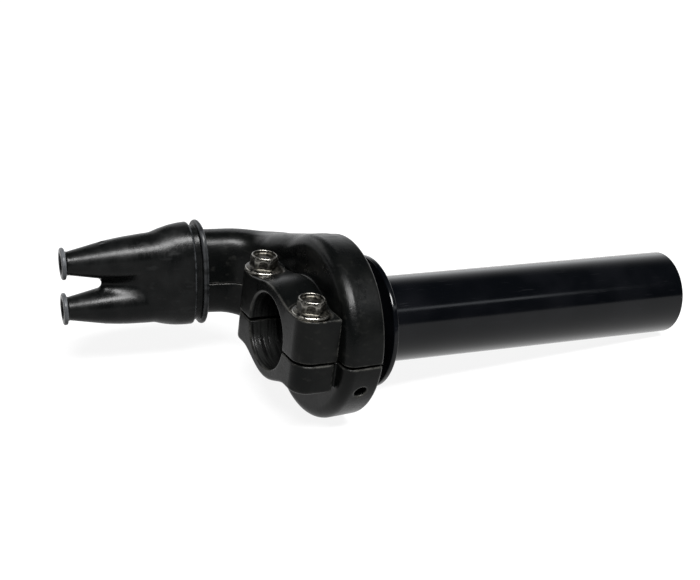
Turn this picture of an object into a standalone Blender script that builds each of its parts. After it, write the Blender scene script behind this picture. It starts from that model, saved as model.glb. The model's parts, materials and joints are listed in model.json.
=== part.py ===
"""Push-pull motorcycle throttle: split clamp housing with an elbow, cable drum, throttle tube and cable boot.

Metres, +Z up. The origin is the centre of the handlebar bore on the clamp's inboard face. +X runs along the
handlebar towards its end, +Y is forward on the motorcycle, and +Z runs along the clamp bolts.
"""

import math

import bmesh
import bpy
from mathutils import Quaternion, Vector

MM = 0.001
GAP = 0.3 * MM  # clearance between neighbouring pieces

# Handlebar clamp
BAR_RADIUS = 11.1 * MM
SPLIT_Z = -1.4 * MM
SPLIT_GAP = 0.8 * MM
CLAMP_WIDTH = 13.0 * MM
RING_FRONT_RADIUS = 14.3 * MM
RING_BACK_RADIUS = 16.3 * MM
BOSS_TOP = 12.0 * MM
BOSS_BOTTOM = -10.6 * MM
BOSS_OUTER = 22.3 * MM
BOSS_INNER = 8.0 * MM
BOSS_CORNER = 5.3 * MM
BOSS_SETBACK = 0.1 * MM  # from the ring's face to the bosses' faces

# Clamp bolts, M6 with an 8 mm hexagon
BOLT_X = 5.3 * MM
BOLT_Y = 16.2 * MM
BOLT_RADIUS = 3.0 * MM
BOLT_TIP = -9.6 * MM
HEX_FLATS = 8.0 * MM
HEX_TURN = math.radians(-27.0)  # where the hexagons came to rest when the bolts were tightened
HEAD_HEIGHT = 4.6 * MM
FLANGE_RADIUS = 5.5 * MM
FLANGE_THICKNESS = 1.2 * MM
HEAD_DISH_RADIUS = 2.9 * MM
HEAD_DISH_DEPTH = 1.2 * MM
DOWEL_X = 10.4 * MM
DOWEL_Y = 18.8 * MM
DOWEL_RADIUS = 1.2 * MM
DOWEL_HALF_LENGTH = 4.0 * MM

# Drum case
CASE_RADIUS = 27.0 * MM
CASE_RIM_RADIUS = 26.5 * MM  # at the outboard edge
CASE_START = CLAMP_WIDTH
CASE_END = 25.0 * MM
CASE_SHOULDER = 3.3 * MM
CASE_LIP = 1.4 * MM
CASE_WALL = 2.3 * MM
CAVITY_START = 14.9 * MM
CAVITY_END = 23.3 * MM
DRAIN_X = 19.7 * MM
DRAIN_ANGLE = math.radians(22.3)  # below the horizontal, on the rear side
DRAIN_RADIUS = 1.6 * MM

# Elbow, which carries the cables from the drum round to almost the direction of the bar
BEND_X = 4.0 * MM
BEND_Y = 30.5 * MM
BEND_END_RADIUS = 14.5 * MM
LEG_LEAN = math.radians(5.0)  # the leg beyond the bend leans forward by this much
LEG_LENGTH = 13.3 * MM
LEG_HALF_WIDTH = 6.75 * MM
CASE_HALF_WIDTH = (CASE_END - CASE_START) / 2
MOUTH_HALF_WIDTH = 7.0 * MM
MOUTH_HALF_HEIGHT = 13.3 * MM
ROOF_SLOPE = 0.35  # sine of the angle between the roof of the elbow and the horizontal
ELBOW_WALL = 2.1 * MM
ELBOW_INSET = 0.25 * MM  # how far the elbow's sides lie inside the case's, where they run together
CASE_SQUARENESS = 5.0  # superellipse exponents of the elbow's section
BEND_SQUARENESS = 3.6
MOUTH_SQUARENESS = 2.6
LIP_RISE = 0.6 * MM
LIP_LENGTH = 1.6 * MM

# Throttle tube and cable drum
TUBE_BORE = 11.4 * MM
TUBE_RADIUS = 12.85 * MM
TUBE_START = 16.0 * MM
TUBE_END = 140.6 * MM
COLLAR_RADIUS = 19.7 * MM
COLLAR_START = 31.6 * MM
COLLAR_THICKNESS = 1.7 * MM
DRUM_RADIUS = 22.4 * MM
DRUM_START = 16.1 * MM
DRUM_END = 22.1 * MM
GROOVE_DEPTH = 2.8 * MM
GROOVE_HALF_WIDTH = 1.0 * MM
OPEN_GROOVE_X = 20.5 * MM
CLOSE_GROOVE_X = 17.7 * MM
NIPPLE_RADIUS = 2.6 * MM
NIPPLE_PITCH = 18.4 * MM
OPEN_NIPPLE_ANGLE = math.radians(110.0)  # from +Y, turning towards +Z
CLOSE_NIPPLE_ANGLE = math.radians(170.0)
KEY_WIDTH = 4.0 * MM
KEY_END = 20.4 * MM
SNAP_RING_X = 16.9 * MM
SNAP_RING_THICKNESS = 0.8 * MM
SNAP_RING_OUTER = 14.5 * MM
WASHER_THICKNESS = 0.6 * MM
WASHER_OUTER = 20.0 * MM
SEAL_OUTER = 16.5 * MM
SEAL_SEAT_X = 24.0 * MM

# Cable rollers in the bend
ROLLER_X = 14.2 * MM
ROLLER_Y = 40.7 * MM
ROLLER_Z = 7.3 * MM
ROLLER_RADIUS = 4.0 * MM
ROLLER_GROOVE_RADIUS = 3.1 * MM
ROLLER_HALF_HEIGHT = 2.4 * MM
ROLLER_PIN_RADIUS = 1.5 * MM
ROLLER_PIN_HALF_LENGTH = 11.9 * MM
ROLLER_POCKET_RADIUS = 4.6 * MM
ROLLER_POCKET_HALF_HEIGHT = 10.8 * MM
ROLLER_WASHER_THICKNESS = 0.4 * MM
ROLLER_WASHER_OUTER = 3.2 * MM
SPACER_OUTER = 2.9 * MM

# Cable seat in the elbow's mouth, measured back from the mouth
SEAT_START = 3.6 * MM
SEAT_END = 0.6 * MM
SEAT_HOLE_RADIUS = 3.0 * MM

# Rubber boot, measured along its own axis from its mouth
BOOT_OVERLAP = 5.8 * MM  # how far the boot reaches back over the elbow
BOOT_LENGTH = 42.3 * MM
BOOT_LEAN = math.radians(5.0)  # extra forward lean that its outlets take
BOOT_SAG = math.radians(5.2)
CROTCH = 31.0 * MM
OUTLET_SPACING = 7.45 * MM
OUTLET_ROOT_RADIUS = 5.9 * MM
OUTLET_NECK_RADIUS = 3.95 * MM
OUTLET_LIP_RADIUS = 4.75 * MM
OUTLET_BORE = 2.6 * MM
BOOT_SQUARENESS = 2.3

ROUND_STEPS = 48
SMALL_STEPS = 24
PIN_STEPS = 16
ELBOW_COUNT = 28
HOLLOW_COUNT = 24
OUTLET_COUNT = 20
UPRIGHT = Vector((0.0, 0.0, 1.0))
ALONG_LEG = Vector((-math.cos(LEG_LEAN), math.sin(LEG_LEAN), 0.0))
ACROSS_LEG = Vector((math.sin(LEG_LEAN), math.cos(LEG_LEAN), 0.0))


def new_collection(name):
    collection = bpy.data.collections.new(name)
    bpy.context.scene.collection.children.link(collection)
    return collection


def new_material(name, colour, roughness, metallic=0.0):
    material = bpy.data.materials.new(name)
    material.use_nodes = True
    shader = material.node_tree.nodes["Principled BSDF"]
    shader.inputs["Base Color"].default_value = (*colour, 1.0)
    shader.inputs["Roughness"].default_value = roughness
    shader.inputs["Metallic"].default_value = metallic
    return material


def add_object(name, mesh, collection, material=None):
    """A part when it has a material, and otherwise a cutter that the build leaves out."""
    obj = bpy.data.objects.new(name, mesh)
    collection.objects.link(obj)
    if material:
        mesh.materials.clear()
        mesh.materials.append(material)
        mesh.shade_smooth()
        mesh.set_sharp_from_angle(angle=math.radians(35))
    else:
        obj.hide_render = True
        obj.display_type = "WIRE"
    return obj


def mesh_from_bmesh(name, bm):
    bmesh.ops.recalc_face_normals(bm, faces=bm.faces)
    mesh = bpy.data.meshes.new(name)
    bm.to_mesh(mesh)
    bm.free()
    return mesh


def box(name, low, high, collection, material=None, round_edge=None, radius=0.0):
    """A box between two corners. round_edge picks the vertical edges that get a radius."""
    bm = bmesh.new()
    bmesh.ops.create_cube(bm, size=1.0)
    low = Vector(low)
    high = Vector(high)
    for vertex in bm.verts:
        vertex.co = Vector(
            (
                low.x + (vertex.co.x + 0.5) * (high.x - low.x),
                low.y + (vertex.co.y + 0.5) * (high.y - low.y),
                low.z + (vertex.co.z + 0.5) * (high.z - low.z),
            )
        )
    if round_edge:
        upright = [e for e in bm.edges if abs(e.verts[0].co.z - e.verts[1].co.z) > radius]
        chosen = [e for e in upright if round_edge(e.verts[0].co)]
        bmesh.ops.bevel(bm, geom=chosen, offset=radius, segments=6, profile=0.5, affect="EDGES")
    return add_object(name, mesh_from_bmesh(name, bm), collection, material)


def cylinder(name, radius, start, end, collection, material=None, steps=SMALL_STEPS, turn=0.0):
    """A cylinder or prism between two points, turned about its own axis."""
    start = Vector(start)
    end = Vector(end)
    bm = bmesh.new()
    bmesh.ops.create_cone(
        bm,
        cap_ends=True,
        segments=steps,
        radius1=radius,
        radius2=radius,
        depth=(end - start).length,
    )
    obj = add_object(name, mesh_from_bmesh(name, bm), collection, material)
    obj.location = (start + end) / 2
    obj.rotation_mode = "QUATERNION"
    obj.rotation_quaternion = (end - start).to_track_quat("Z", "Y") @ Quaternion(UPRIGHT, turn)
    return obj


def turned(name, profile, collection, material=None, steps=ROUND_STEPS, along_x=True):
    """A turned piece from (height, radius) points, going down its outer side and back up its inner side."""
    mesh = bpy.data.meshes.new(name)
    points = [(radius, 0.0, height) for height, radius in profile]
    edges = [(i, (i + 1) % len(points)) for i in range(len(points))]
    on_axis = [i for i, point in enumerate(points) if point[0] == 0.0]
    if on_axis:
        edges = [e for e in edges if not set(e) <= set(on_axis)]
    mesh.from_pydata(points, edges, [])
    obj = add_object(name, mesh, collection, material)
    screw = obj.modifiers.new("Turn", "SCREW")
    screw.axis = "Z"
    screw.steps = steps
    screw.render_steps = steps
    screw.use_merge_vertices = True
    screw.merge_threshold = 0.00001
    screw.use_smooth_shade = True
    if along_x:
        obj.rotation_euler = (0.0, math.pi / 2, 0.0)
    return obj


def arc(centre_x, centre_y, radius, start, end, steps):
    """Points on an arc, angles in degrees."""
    points = []
    for i in range(steps + 1):
        angle = math.radians(start + (end - start) * i / steps)
        points.append((centre_x + radius * math.cos(angle), centre_y + radius * math.sin(angle)))
    return points


def section_ring(centre, across, upright, size, exponent, count):
    """A superellipse of points. size is half the width, then the heights above and below the centre."""
    half_width, rise, fall = size
    points = []
    for i in range(count):
        angle = 2 * math.pi * (i + 0.5) / count
        c = math.cos(angle)
        s = math.sin(angle)
        u = half_width * math.copysign(abs(c) ** (2 / exponent), c)
        v = (rise if s > 0 else fall) * math.copysign(abs(s) ** (2 / exponent), s)
        points.append(centre + across * u + upright * v)
    return points


def loft(name, rings, collection, material=None):
    """A closed solid through rings of points, each with the same count."""
    bm = bmesh.new()
    rows = [[bm.verts.new(point) for point in ring] for ring in rings]
    count = len(rows[0])
    for first, second in zip(rows, rows[1:]):
        for i in range(count):
            j = (i + 1) % count
            bm.faces.new((first[i], first[j], second[j], second[i]))
    bm.faces.new(rows[0])
    bm.faces.new(rows[-1])
    return add_object(name, mesh_from_bmesh(name, bm), collection, material)


def boolean(obj, other, operation, solver="EXACT"):
    modifier = obj.modifiers.new(f"{operation.title()} {other.name}", "BOOLEAN")
    modifier.operation = operation
    modifier.solver = solver
    modifier.object = other


def smoothstep(t):
    t = min(1.0, max(0.0, t))
    return t * t * (3 - 2 * t)


def blend(first, second, t):
    return first + (second - first) * t


def tangent_height(y):
    """Height of the elbow's roof before it levels out: it follows the case and leaves it on a tangent."""
    radius = CASE_RADIUS - ELBOW_INSET
    if y < ROOF_SLOPE * radius:
        return math.sqrt(radius**2 - y**2)
    return (radius - ROOF_SLOPE * y) / math.sqrt(1 - ROOF_SLOPE**2)


def leg_point(distance):
    """A point on the axis of the elbow's leg, so far past the end of the bend."""
    bend_centre = Vector((BEND_X, BEND_Y, 0.0))
    return bend_centre + ACROSS_LEG * BEND_END_RADIUS + ALONG_LEG * distance


def case_stations():
    """(centre, across, size, squareness) from inside the drum case to the start of the bend."""
    first = 3 * MM
    flare_start = 12 * MM
    stations = []
    for i in range(6):
        y = blend(first, BEND_Y, i / 5)
        t = smoothstep((y - flare_start) / (BEND_Y - flare_start))
        half_width = blend(CASE_HALF_WIDTH - ELBOW_INSET, LEG_HALF_WIDTH, t)
        centre = Vector((CASE_END - ELBOW_INSET - half_width, y, 0.0))
        height = tangent_height(y)
        squareness = blend(CASE_SQUARENESS, BEND_SQUARENESS, t)
        stations.append((centre, Vector((1.0, 0.0, 0.0)), (half_width, height, height), squareness))
    return stations


def bend_stations():
    """(centre, across, size, squareness) round the bend. The floor levels out later than the roof."""
    steps = 6
    start_radius = CASE_END - ELBOW_INSET - LEG_HALF_WIDTH - BEND_X
    start_height = tangent_height(BEND_Y)
    stations = []
    for i in range(1, steps + 1):
        t = i / steps
        angle = t * (math.pi / 2 - LEG_LEAN)
        across = Vector((math.cos(angle), math.sin(angle), 0.0))
        centre = Vector((BEND_X, BEND_Y, 0.0)) + across * blend(start_radius, BEND_END_RADIUS, t)
        half_width = blend(LEG_HALF_WIDTH, MOUTH_HALF_WIDTH, t)
        rise = max(MOUTH_HALF_HEIGHT, tangent_height(centre.y))
        fall = blend(start_height, MOUTH_HALF_HEIGHT, t)
        squareness = blend(BEND_SQUARENESS, MOUTH_SQUARENESS, t)
        stations.append((centre, across, (half_width, rise, fall), squareness))
    return stations


def leg_ring(distance, growth, count):
    """The section of the elbow's leg, grown or shrunk by a margin."""
    size = (MOUTH_HALF_WIDTH + growth, MOUTH_HALF_HEIGHT + growth, MOUTH_HALF_HEIGHT + growth)
    return section_ring(leg_point(distance), ACROSS_LEG, UPRIGHT, size, MOUTH_SQUARENESS, count)


def elbow_loft(name, inset, leg_length, count, collection):
    rings = []
    for centre, across, size, squareness in case_stations() + bend_stations():
        inner = tuple(value - inset for value in size)
        rings.append(section_ring(centre, across, UPRIGHT, inner, squareness, count))
    rings.append(leg_ring(leg_length, -inset, count))
    return loft(name, rings, collection)


def case_profile():
    """Outside of the drum case and the clamp ring: outboard lip, round shoulder, then the tapered ring."""
    ring_bevel = 1.0 * MM
    shoulder_x = CASE_START + CASE_SHOULDER
    profile = [(CASE_END, 0.0)]
    profile += arc(CASE_END - CASE_LIP, CASE_RIM_RADIUS - CASE_LIP, CASE_LIP, 0, 90, 3)
    profile += arc(shoulder_x, CASE_RADIUS - CASE_SHOULDER, CASE_SHOULDER, 90, 180, 5)
    profile += [
        (CASE_START, RING_BACK_RADIUS),
        (ring_bevel, RING_FRONT_RADIUS),
        (0.0, RING_FRONT_RADIUS - ring_bevel),
        (0.0, 0.0),
    ]
    return profile


def clamp_boss(side, cutters):
    """One bolt boss, on the +Y or the -Y side of the bar."""
    near = side * BOSS_INNER
    far = side * BOSS_OUTER
    overlap = 1 * MM  # into the drum case
    return box(
        "boss_front_form" if side > 0 else "boss_rear_form",
        (BOSS_SETBACK, min(near, far), BOSS_BOTTOM),
        (CASE_START + overlap, max(near, far), BOSS_TOP),
        cutters,
        round_edge=lambda co: co.x < BOSS_CORNER and abs(co.y) > BOSS_OUTER - BOSS_CORNER,
        radius=BOSS_CORNER,
    )


def housing_form(cutters):
    """The outside of both halves as one solid."""
    form = turned("housing_form", case_profile(), cutters)
    elbow = elbow_loft("elbow_form", 0.0, LEG_LENGTH, ELBOW_COUNT, cutters)
    lip_overshoot = 0.01 * MM
    lip_rings = [
        leg_ring(distance, LIP_RISE, ELBOW_COUNT)
        for distance in (LEG_LENGTH - LIP_LENGTH, LEG_LENGTH + lip_overshoot)
    ]
    lip = loft("lip_form", lip_rings, cutters)
    for other in (clamp_boss(1, cutters), clamp_boss(-1, cutters), elbow, lip):
        boolean(form, other, "UNION")
    return form


def bored(name, radius, start_x, end_x, cutters):
    """A round hollow on the bar's axis."""
    return cylinder(name, radius, (start_x, 0, 0), (end_x, 0, 0), cutters, steps=ROUND_STEPS)


def drilled(name, radius, place, low, high, cutters, steps=SMALL_STEPS):
    """A round hollow along +Z at (x, y)."""
    return cylinder(name, radius, (*place, low), (*place, high), cutters, steps=steps)


def housing_cutters(cutters):
    """Everything that is hollow in both halves."""
    clear = 5 * MM  # how far a hollow runs past the outside
    overlap = 1 * MM
    tube_fit = TUBE_RADIUS + 1.5 * GAP
    roller_place = (ROLLER_X, ROLLER_Y)
    pocket = ROLLER_POCKET_HALF_HEIGHT
    pin_end = ROLLER_PIN_HALF_LENGTH + GAP
    found = [
        bored("bar_bore", BAR_RADIUS, -clear, CAVITY_START + overlap, cutters),
        bored("drum_cavity", CASE_RADIUS - CASE_WALL, CAVITY_START, CAVITY_END, cutters),
        bored("tube_hole", tube_fit, CAVITY_END - overlap, CASE_END + clear, cutters),
        bored("seal_seat", SEAL_OUTER + GAP, SEAL_SEAT_X, CASE_END + clear, cutters),
        elbow_loft("cable_channel", ELBOW_WALL, LEG_LENGTH + clear, OUTLET_COUNT, cutters),
        drilled("roller_pocket", ROLLER_POCKET_RADIUS, roller_place, -pocket, pocket, cutters),
        drilled("pin_hole", ROLLER_PIN_RADIUS + GAP, roller_place, -pin_end, pin_end, cutters, PIN_STEPS),
    ]
    dowel_reach = DOWEL_HALF_LENGTH + GAP
    for side, word in ((1, "front"), (-1, "rear")):
        bolt_place = (BOLT_X, side * BOLT_Y)
        dowel_place = (DOWEL_X, side * DOWEL_Y)
        bolt_fit = BOLT_RADIUS + GAP
        dowel_fit = DOWEL_RADIUS + GAP
        low = BOSS_BOTTOM - clear
        high = BOSS_TOP + clear
        found.append(drilled(f"bolt_hole_{word}", bolt_fit, bolt_place, low, high, cutters))
        low = SPLIT_Z - dowel_reach
        high = SPLIT_Z + dowel_reach
        found.append(drilled(f"dowel_hole_{word}", dowel_fit, dowel_place, low, high, cutters, PIN_STEPS))
    return found


def drain_cutter(cutters):
    outward = Vector((0.0, -math.cos(DRAIN_ANGLE), -math.sin(DRAIN_ANGLE)))
    middle = Vector((DRAIN_X, 0.0, 0.0))
    overlap = 2 * MM
    start = middle + outward * (CASE_RADIUS - CASE_WALL - overlap)
    end = middle + outward * (CASE_RADIUS + overlap)
    return cylinder("drain_hole", DRAIN_RADIUS, start, end, cutters, steps=PIN_STEPS)


def housings(parts, cutters, material):
    """The two halves: each is a block of space that keeps its share of the housing's form.

    The walls of the cavities run into each other at grazing angles, where the exact solver leaves open edges.
    """
    form = housing_form(cutters)
    hollow = housing_cutters(cutters)
    reach = 80 * MM
    upper_floor = SPLIT_Z + SPLIT_GAP / 2
    lower_roof = SPLIT_Z - SPLIT_GAP / 2
    upper = box("upper_housing", (-reach, -reach, upper_floor), (reach, reach, reach), parts, material)
    lower = box("lower_housing", (-reach, -reach, -reach), (reach, reach, lower_roof), parts, material)
    for half in (upper, lower):
        boolean(half, form, "INTERSECT", "MANIFOLD")
        for cutter in hollow:
            boolean(half, cutter, "DIFFERENCE", "MANIFOLD")
    boolean(lower, drain_cutter(cutters), "DIFFERENCE", "MANIFOLD")


def clamp_bolts(parts, cutters, material):
    """Flanged M6 bolts with dished hexagon heads."""
    seat = BOSS_TOP + GAP
    top = seat + HEAD_HEIGHT
    dish_floor = top - HEAD_DISH_DEPTH
    core_top = top - 1 * MM
    flange_edge = 0.4 * MM
    flange_slope = 0.8 * MM
    tip_bevel = 0.6 * MM
    corner = HEX_FLATS / math.sqrt(3)
    profile = [
        (core_top, 0.0),
        (core_top, BOLT_RADIUS),
        (seat + FLANGE_THICKNESS, FLANGE_RADIUS - flange_slope),
        (seat + flange_edge, FLANGE_RADIUS),
        (seat, FLANGE_RADIUS),
        (seat, BOLT_RADIUS),
        (BOLT_TIP + tip_bevel, BOLT_RADIUS),
        (BOLT_TIP, BOLT_RADIUS - tip_bevel),
        (BOLT_TIP, 0.0),
    ]
    for side, word in ((1, "front"), (-1, "rear")):
        place = (BOLT_X, side * BOLT_Y)
        name = f"clamp_bolt_{word}"
        bolt = turned(name, profile, parts, material, steps=SMALL_STEPS, along_x=False)
        bolt.location = (*place, 0.0)
        low = (*place, seat + flange_edge)
        high = (*place, top)
        hexagon = cylinder(f"hexagon_{word}", corner, low, high, cutters, steps=6, turn=HEX_TURN)
        dish = drilled(f"dish_{word}", HEAD_DISH_RADIUS, place, dish_floor, top + BOLT_RADIUS, cutters)
        boolean(bolt, hexagon, "UNION")
        boolean(bolt, dish, "DIFFERENCE")


def dowels(parts, material):
    """Pins that line the two halves up beside the bolts."""
    for side, word in ((1, "front"), (-1, "rear")):
        start = (DOWEL_X, side * DOWEL_Y, SPLIT_Z - DOWEL_HALF_LENGTH)
        end = (DOWEL_X, side * DOWEL_Y, SPLIT_Z + DOWEL_HALF_LENGTH)
        cylinder(f"locating_dowel_{word}", DOWEL_RADIUS, start, end, parts, material, steps=PIN_STEPS)


def throttle_tube(parts, cutters, material):
    """Aluminium tube that turns on the bar, with a collar that keeps the rubber grip off the housing."""
    collar_end = COLLAR_START + COLLAR_THICKNESS
    edge = 0.5 * MM
    bore_bevel = 0.3 * MM
    root_fillet = 0.7 * MM
    groove_depth = 0.5 * MM
    inboard_relief = 0.3 * MM  # the end that carries the snap ring is slightly thinner
    groove_start = SNAP_RING_X - GAP
    groove_end = SNAP_RING_X + SNAP_RING_THICKNESS + GAP
    profile = [
        (TUBE_END, TUBE_BORE + bore_bevel),
        (TUBE_END, TUBE_RADIUS - edge),
        (TUBE_END - edge, TUBE_RADIUS),
        (collar_end + root_fillet, TUBE_RADIUS),
        (collar_end, TUBE_RADIUS + root_fillet),
        (collar_end, COLLAR_RADIUS - edge),
        (collar_end - edge, COLLAR_RADIUS),
        (COLLAR_START + edge, COLLAR_RADIUS),
        (COLLAR_START, COLLAR_RADIUS - edge),
        (COLLAR_START, TUBE_RADIUS),
        (groove_end, TUBE_RADIUS),
        (groove_end, TUBE_RADIUS - groove_depth),
        (groove_start, TUBE_RADIUS - groove_depth),
        (groove_start, TUBE_RADIUS - inboard_relief),
        (TUBE_START, TUBE_RADIUS - inboard_relief),
        (TUBE_START, TUBE_BORE),
        (TUBE_END - bore_bevel, TUBE_BORE),
    ]
    tube = turned("throttle_tube", profile, parts, material)
    slot_half = KEY_WIDTH / 2 + GAP
    reach = TUBE_RADIUS + KEY_WIDTH
    low = (TUBE_START - KEY_WIDTH, -reach, -slot_half)
    slots = box("key_slots", low, (KEY_END + GAP, reach, slot_half), cutters)
    boolean(tube, slots, "DIFFERENCE")


def groove_points(x):
    """One cable groove across the rim of the drum, from its outboard to its inboard edge."""
    bottom = DRUM_RADIUS - GROOVE_DEPTH
    side = (0.6 * GROOVE_HALF_WIDTH, bottom + 0.3 * MM)  # where a side of the groove meets its round bottom
    return [
        (x + GROOVE_HALF_WIDTH, DRUM_RADIUS),
        (x + side[0], side[1]),
        (x, bottom),
        (x - side[0], side[1]),
        (x - GROOVE_HALF_WIDTH, DRUM_RADIUS),
    ]


def cable_drum(parts, cutters, material):
    """Moulded drum keyed to the tube: the outboard groove opens the throttle, the inboard one closes it."""
    bore = TUBE_RADIUS + GAP
    recess = SNAP_RING_OUTER + GAP
    recess_end = SNAP_RING_X + SNAP_RING_THICKNESS + GAP
    profile = [(DRUM_END, bore), (DRUM_END, DRUM_RADIUS)]
    profile += groove_points(OPEN_GROOVE_X)
    profile += groove_points(CLOSE_GROOVE_X)
    profile += [(DRUM_START, DRUM_RADIUS), (DRUM_START, recess), (recess_end, recess), (recess_end, bore)]
    drum = turned("cable_drum", profile, parts, material)
    key_depth = 0.9 * MM
    key_foot = 1 * MM
    for side, word in ((1, "front"), (-1, "rear")):
        inner = side * (TUBE_RADIUS - key_depth)
        outer = side * (bore + key_foot)
        low = (recess_end + GAP / 3, min(inner, outer), -KEY_WIDTH / 2)
        key = box(f"drum_key_{word}", low, (KEY_END, max(inner, outer), KEY_WIDTH / 2), cutters)
        boolean(drum, key, "UNION")
    clear = 2 * MM
    pockets = (
        ("open_nipple_pocket", OPEN_NIPPLE_ANGLE, OPEN_GROOVE_X - GROOVE_HALF_WIDTH, DRUM_END + clear),
        ("close_nipple_pocket", CLOSE_NIPPLE_ANGLE, DRUM_START - clear, CLOSE_GROOVE_X + GROOVE_HALF_WIDTH),
    )
    for name, angle, start, end in pockets:
        y = NIPPLE_PITCH * math.cos(angle)
        z = NIPPLE_PITCH * math.sin(angle)
        pocket = cylinder(name, NIPPLE_RADIUS, (start, y, z), (end, y, z), cutters, steps=PIN_STEPS)
        boolean(drum, pocket, "DIFFERENCE")


def flat_ring(name, start, end, inner, outer, parts, material, along_x=True, steps=ROUND_STEPS):
    """A plain washer or bush of rectangular section."""
    profile = [(end, inner), (end, outer), (start, outer), (start, inner)]
    return turned(name, profile, parts, material, steps=steps, along_x=along_x)


def snap_ring(parts, cutters, material):
    """Open ring that stops the tube from pulling out through the drum."""
    name = "drum_snap_ring"
    start = SNAP_RING_X
    end = SNAP_RING_X + SNAP_RING_THICKNESS
    seat_depth = 0.2 * MM  # how far it sits in the tube's groove
    ring = flat_ring(name, start, end, TUBE_RADIUS - seat_depth, SNAP_RING_OUTER, parts, material)
    mouth_half = 3 * MM
    low = (start - mouth_half, -mouth_half, TUBE_RADIUS / 2)
    mouth = box("snap_ring_mouth", low, (end + mouth_half, mouth_half, SNAP_RING_OUTER + mouth_half), cutters)
    boolean(ring, mouth, "DIFFERENCE")


def drum_rings(parts, nylon, rubber):
    """The two thrust washers beside the drum and the seal round the tube."""
    tube_fit = TUBE_RADIUS + GAP
    bar_fit = BAR_RADIUS + 1 * MM
    inboard = CAVITY_START + GAP
    outboard = CAVITY_END - GAP
    rings = (
        ("thrust_washer_inboard", inboard, inboard + WASHER_THICKNESS, bar_fit, WASHER_OUTER, nylon),
        ("thrust_washer_outboard", outboard - WASHER_THICKNESS, outboard, tube_fit, WASHER_OUTER, nylon),
        ("tube_dust_seal", SEAL_SEAT_X + GAP, CASE_END + GAP, tube_fit, SEAL_OUTER, rubber),
    )
    for name, start, end, inner, outer, material in rings:
        flat_ring(name, start, end, inner, outer, parts, material)


def cable_rollers(parts, steel, nylon):
    """Two grooved rollers on one pin turn the cables through the bend."""
    place = (ROLLER_X, ROLLER_Y)
    inner = ROLLER_PIN_RADIUS + GAP
    rim = 0.7 * MM
    groove_half = 0.6 * MM
    high = ROLLER_HALF_HEIGHT
    profile = [
        (high, inner),
        (high, ROLLER_RADIUS),
        (high - rim, ROLLER_RADIUS),
        (groove_half, ROLLER_GROOVE_RADIUS),
        (-groove_half, ROLLER_GROOVE_RADIUS),
        (rim - high, ROLLER_RADIUS),
        (-high, ROLLER_RADIUS),
        (-high, inner),
    ]
    for sign, word in ((1, "open"), (-1, "close")):
        roller = turned(f"{word}_cable_roller", profile, parts, nylon, steps=SMALL_STEPS, along_x=False)
        roller.location = (*place, sign * ROLLER_Z)
    pin_start = (*place, -ROLLER_PIN_HALF_LENGTH)
    pin_end = (*place, ROLLER_PIN_HALF_LENGTH)
    cylinder("roller_pin", ROLLER_PIN_RADIUS, pin_start, pin_end, parts, steel)
    spacer_end = ROLLER_Z - ROLLER_HALF_HEIGHT - GAP
    washer_start = ROLLER_Z + ROLLER_HALF_HEIGHT + GAP
    washer_end = washer_start + ROLLER_WASHER_THICKNESS
    rings = (
        ("roller_spacer", -spacer_end, spacer_end, SPACER_OUTER, nylon),
        ("roller_washer_top", washer_start, washer_end, ROLLER_WASHER_OUTER, steel),
        ("roller_washer_bottom", -washer_end, -washer_start, ROLLER_WASHER_OUTER, steel),
    )
    for name, start, end, outer, material in rings:
        ring = flat_ring(name, start, end, inner, outer, parts, material, along_x=False, steps=SMALL_STEPS)
        ring.location = (*place, 0.0)


def cable_seat(parts, cutters, material):
    """Plate across the elbow's mouth that the ends of the two outer cables push against."""
    fit = ELBOW_WALL + GAP
    rings = [leg_ring(LEG_LENGTH - back, -fit, HOLLOW_COUNT) for back in (SEAT_START, SEAT_END)]
    plate = loft("cable_seat", rings, parts, material)
    clear = 2 * MM
    for sign, word in ((1, "open"), (-1, "close")):
        height = UPRIGHT * sign * OUTLET_SPACING
        start = leg_point(LEG_LENGTH - SEAT_START - clear) + height
        end = leg_point(LEG_LENGTH - SEAT_END + clear) + height
        hole = cylinder(f"{word}_seat_hole", SEAT_HOLE_RADIUS, start, end, cutters, steps=OUTLET_COUNT)
        boolean(plate, hole, "DIFFERENCE")


def boot_frame(distance):
    """(centre, across, upright) of the boot's section so far from its mouth: it leans forward and sags."""
    lean = BOOT_LEAN * distance / BOOT_LENGTH
    across = Quaternion(UPRIGHT, -lean) @ ACROSS_LEG
    along = Quaternion(UPRIGHT, -lean) @ ALONG_LEG
    upright = UPRIGHT * math.cos(BOOT_SAG) + along * math.sin(BOOT_SAG)
    centre = leg_point(LEG_LENGTH - BOOT_OVERLAP) + ALONG_LEG * distance
    centre += ACROSS_LEG * distance * lean / 2 - UPRIGHT * distance * math.tan(BOOT_SAG)
    return centre, across, upright


def boot_loft(name, sections, count, collection, material=None):
    """Loft through (distance, half width, half height) sections of the boot."""
    rings = []
    for distance, half_width, half_height in sections:
        centre, across, upright = boot_frame(distance)
        size = (half_width, half_height, half_height)
        rings.append(section_ring(centre, across, upright, size, BOOT_SQUARENESS, count))
    return loft(name, rings, collection, material)


def outlet(name, stations, sign, collection):
    """Round loft along one outlet, through (distance, radius) stations."""
    rings = []
    for distance, radius in stations:
        centre, across, upright = boot_frame(distance)
        middle = centre + upright * sign * OUTLET_SPACING
        rings.append(section_ring(middle, across, upright, (radius,) * 3, 2.0, OUTLET_COUNT))
    return loft(name, rings, collection)


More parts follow.
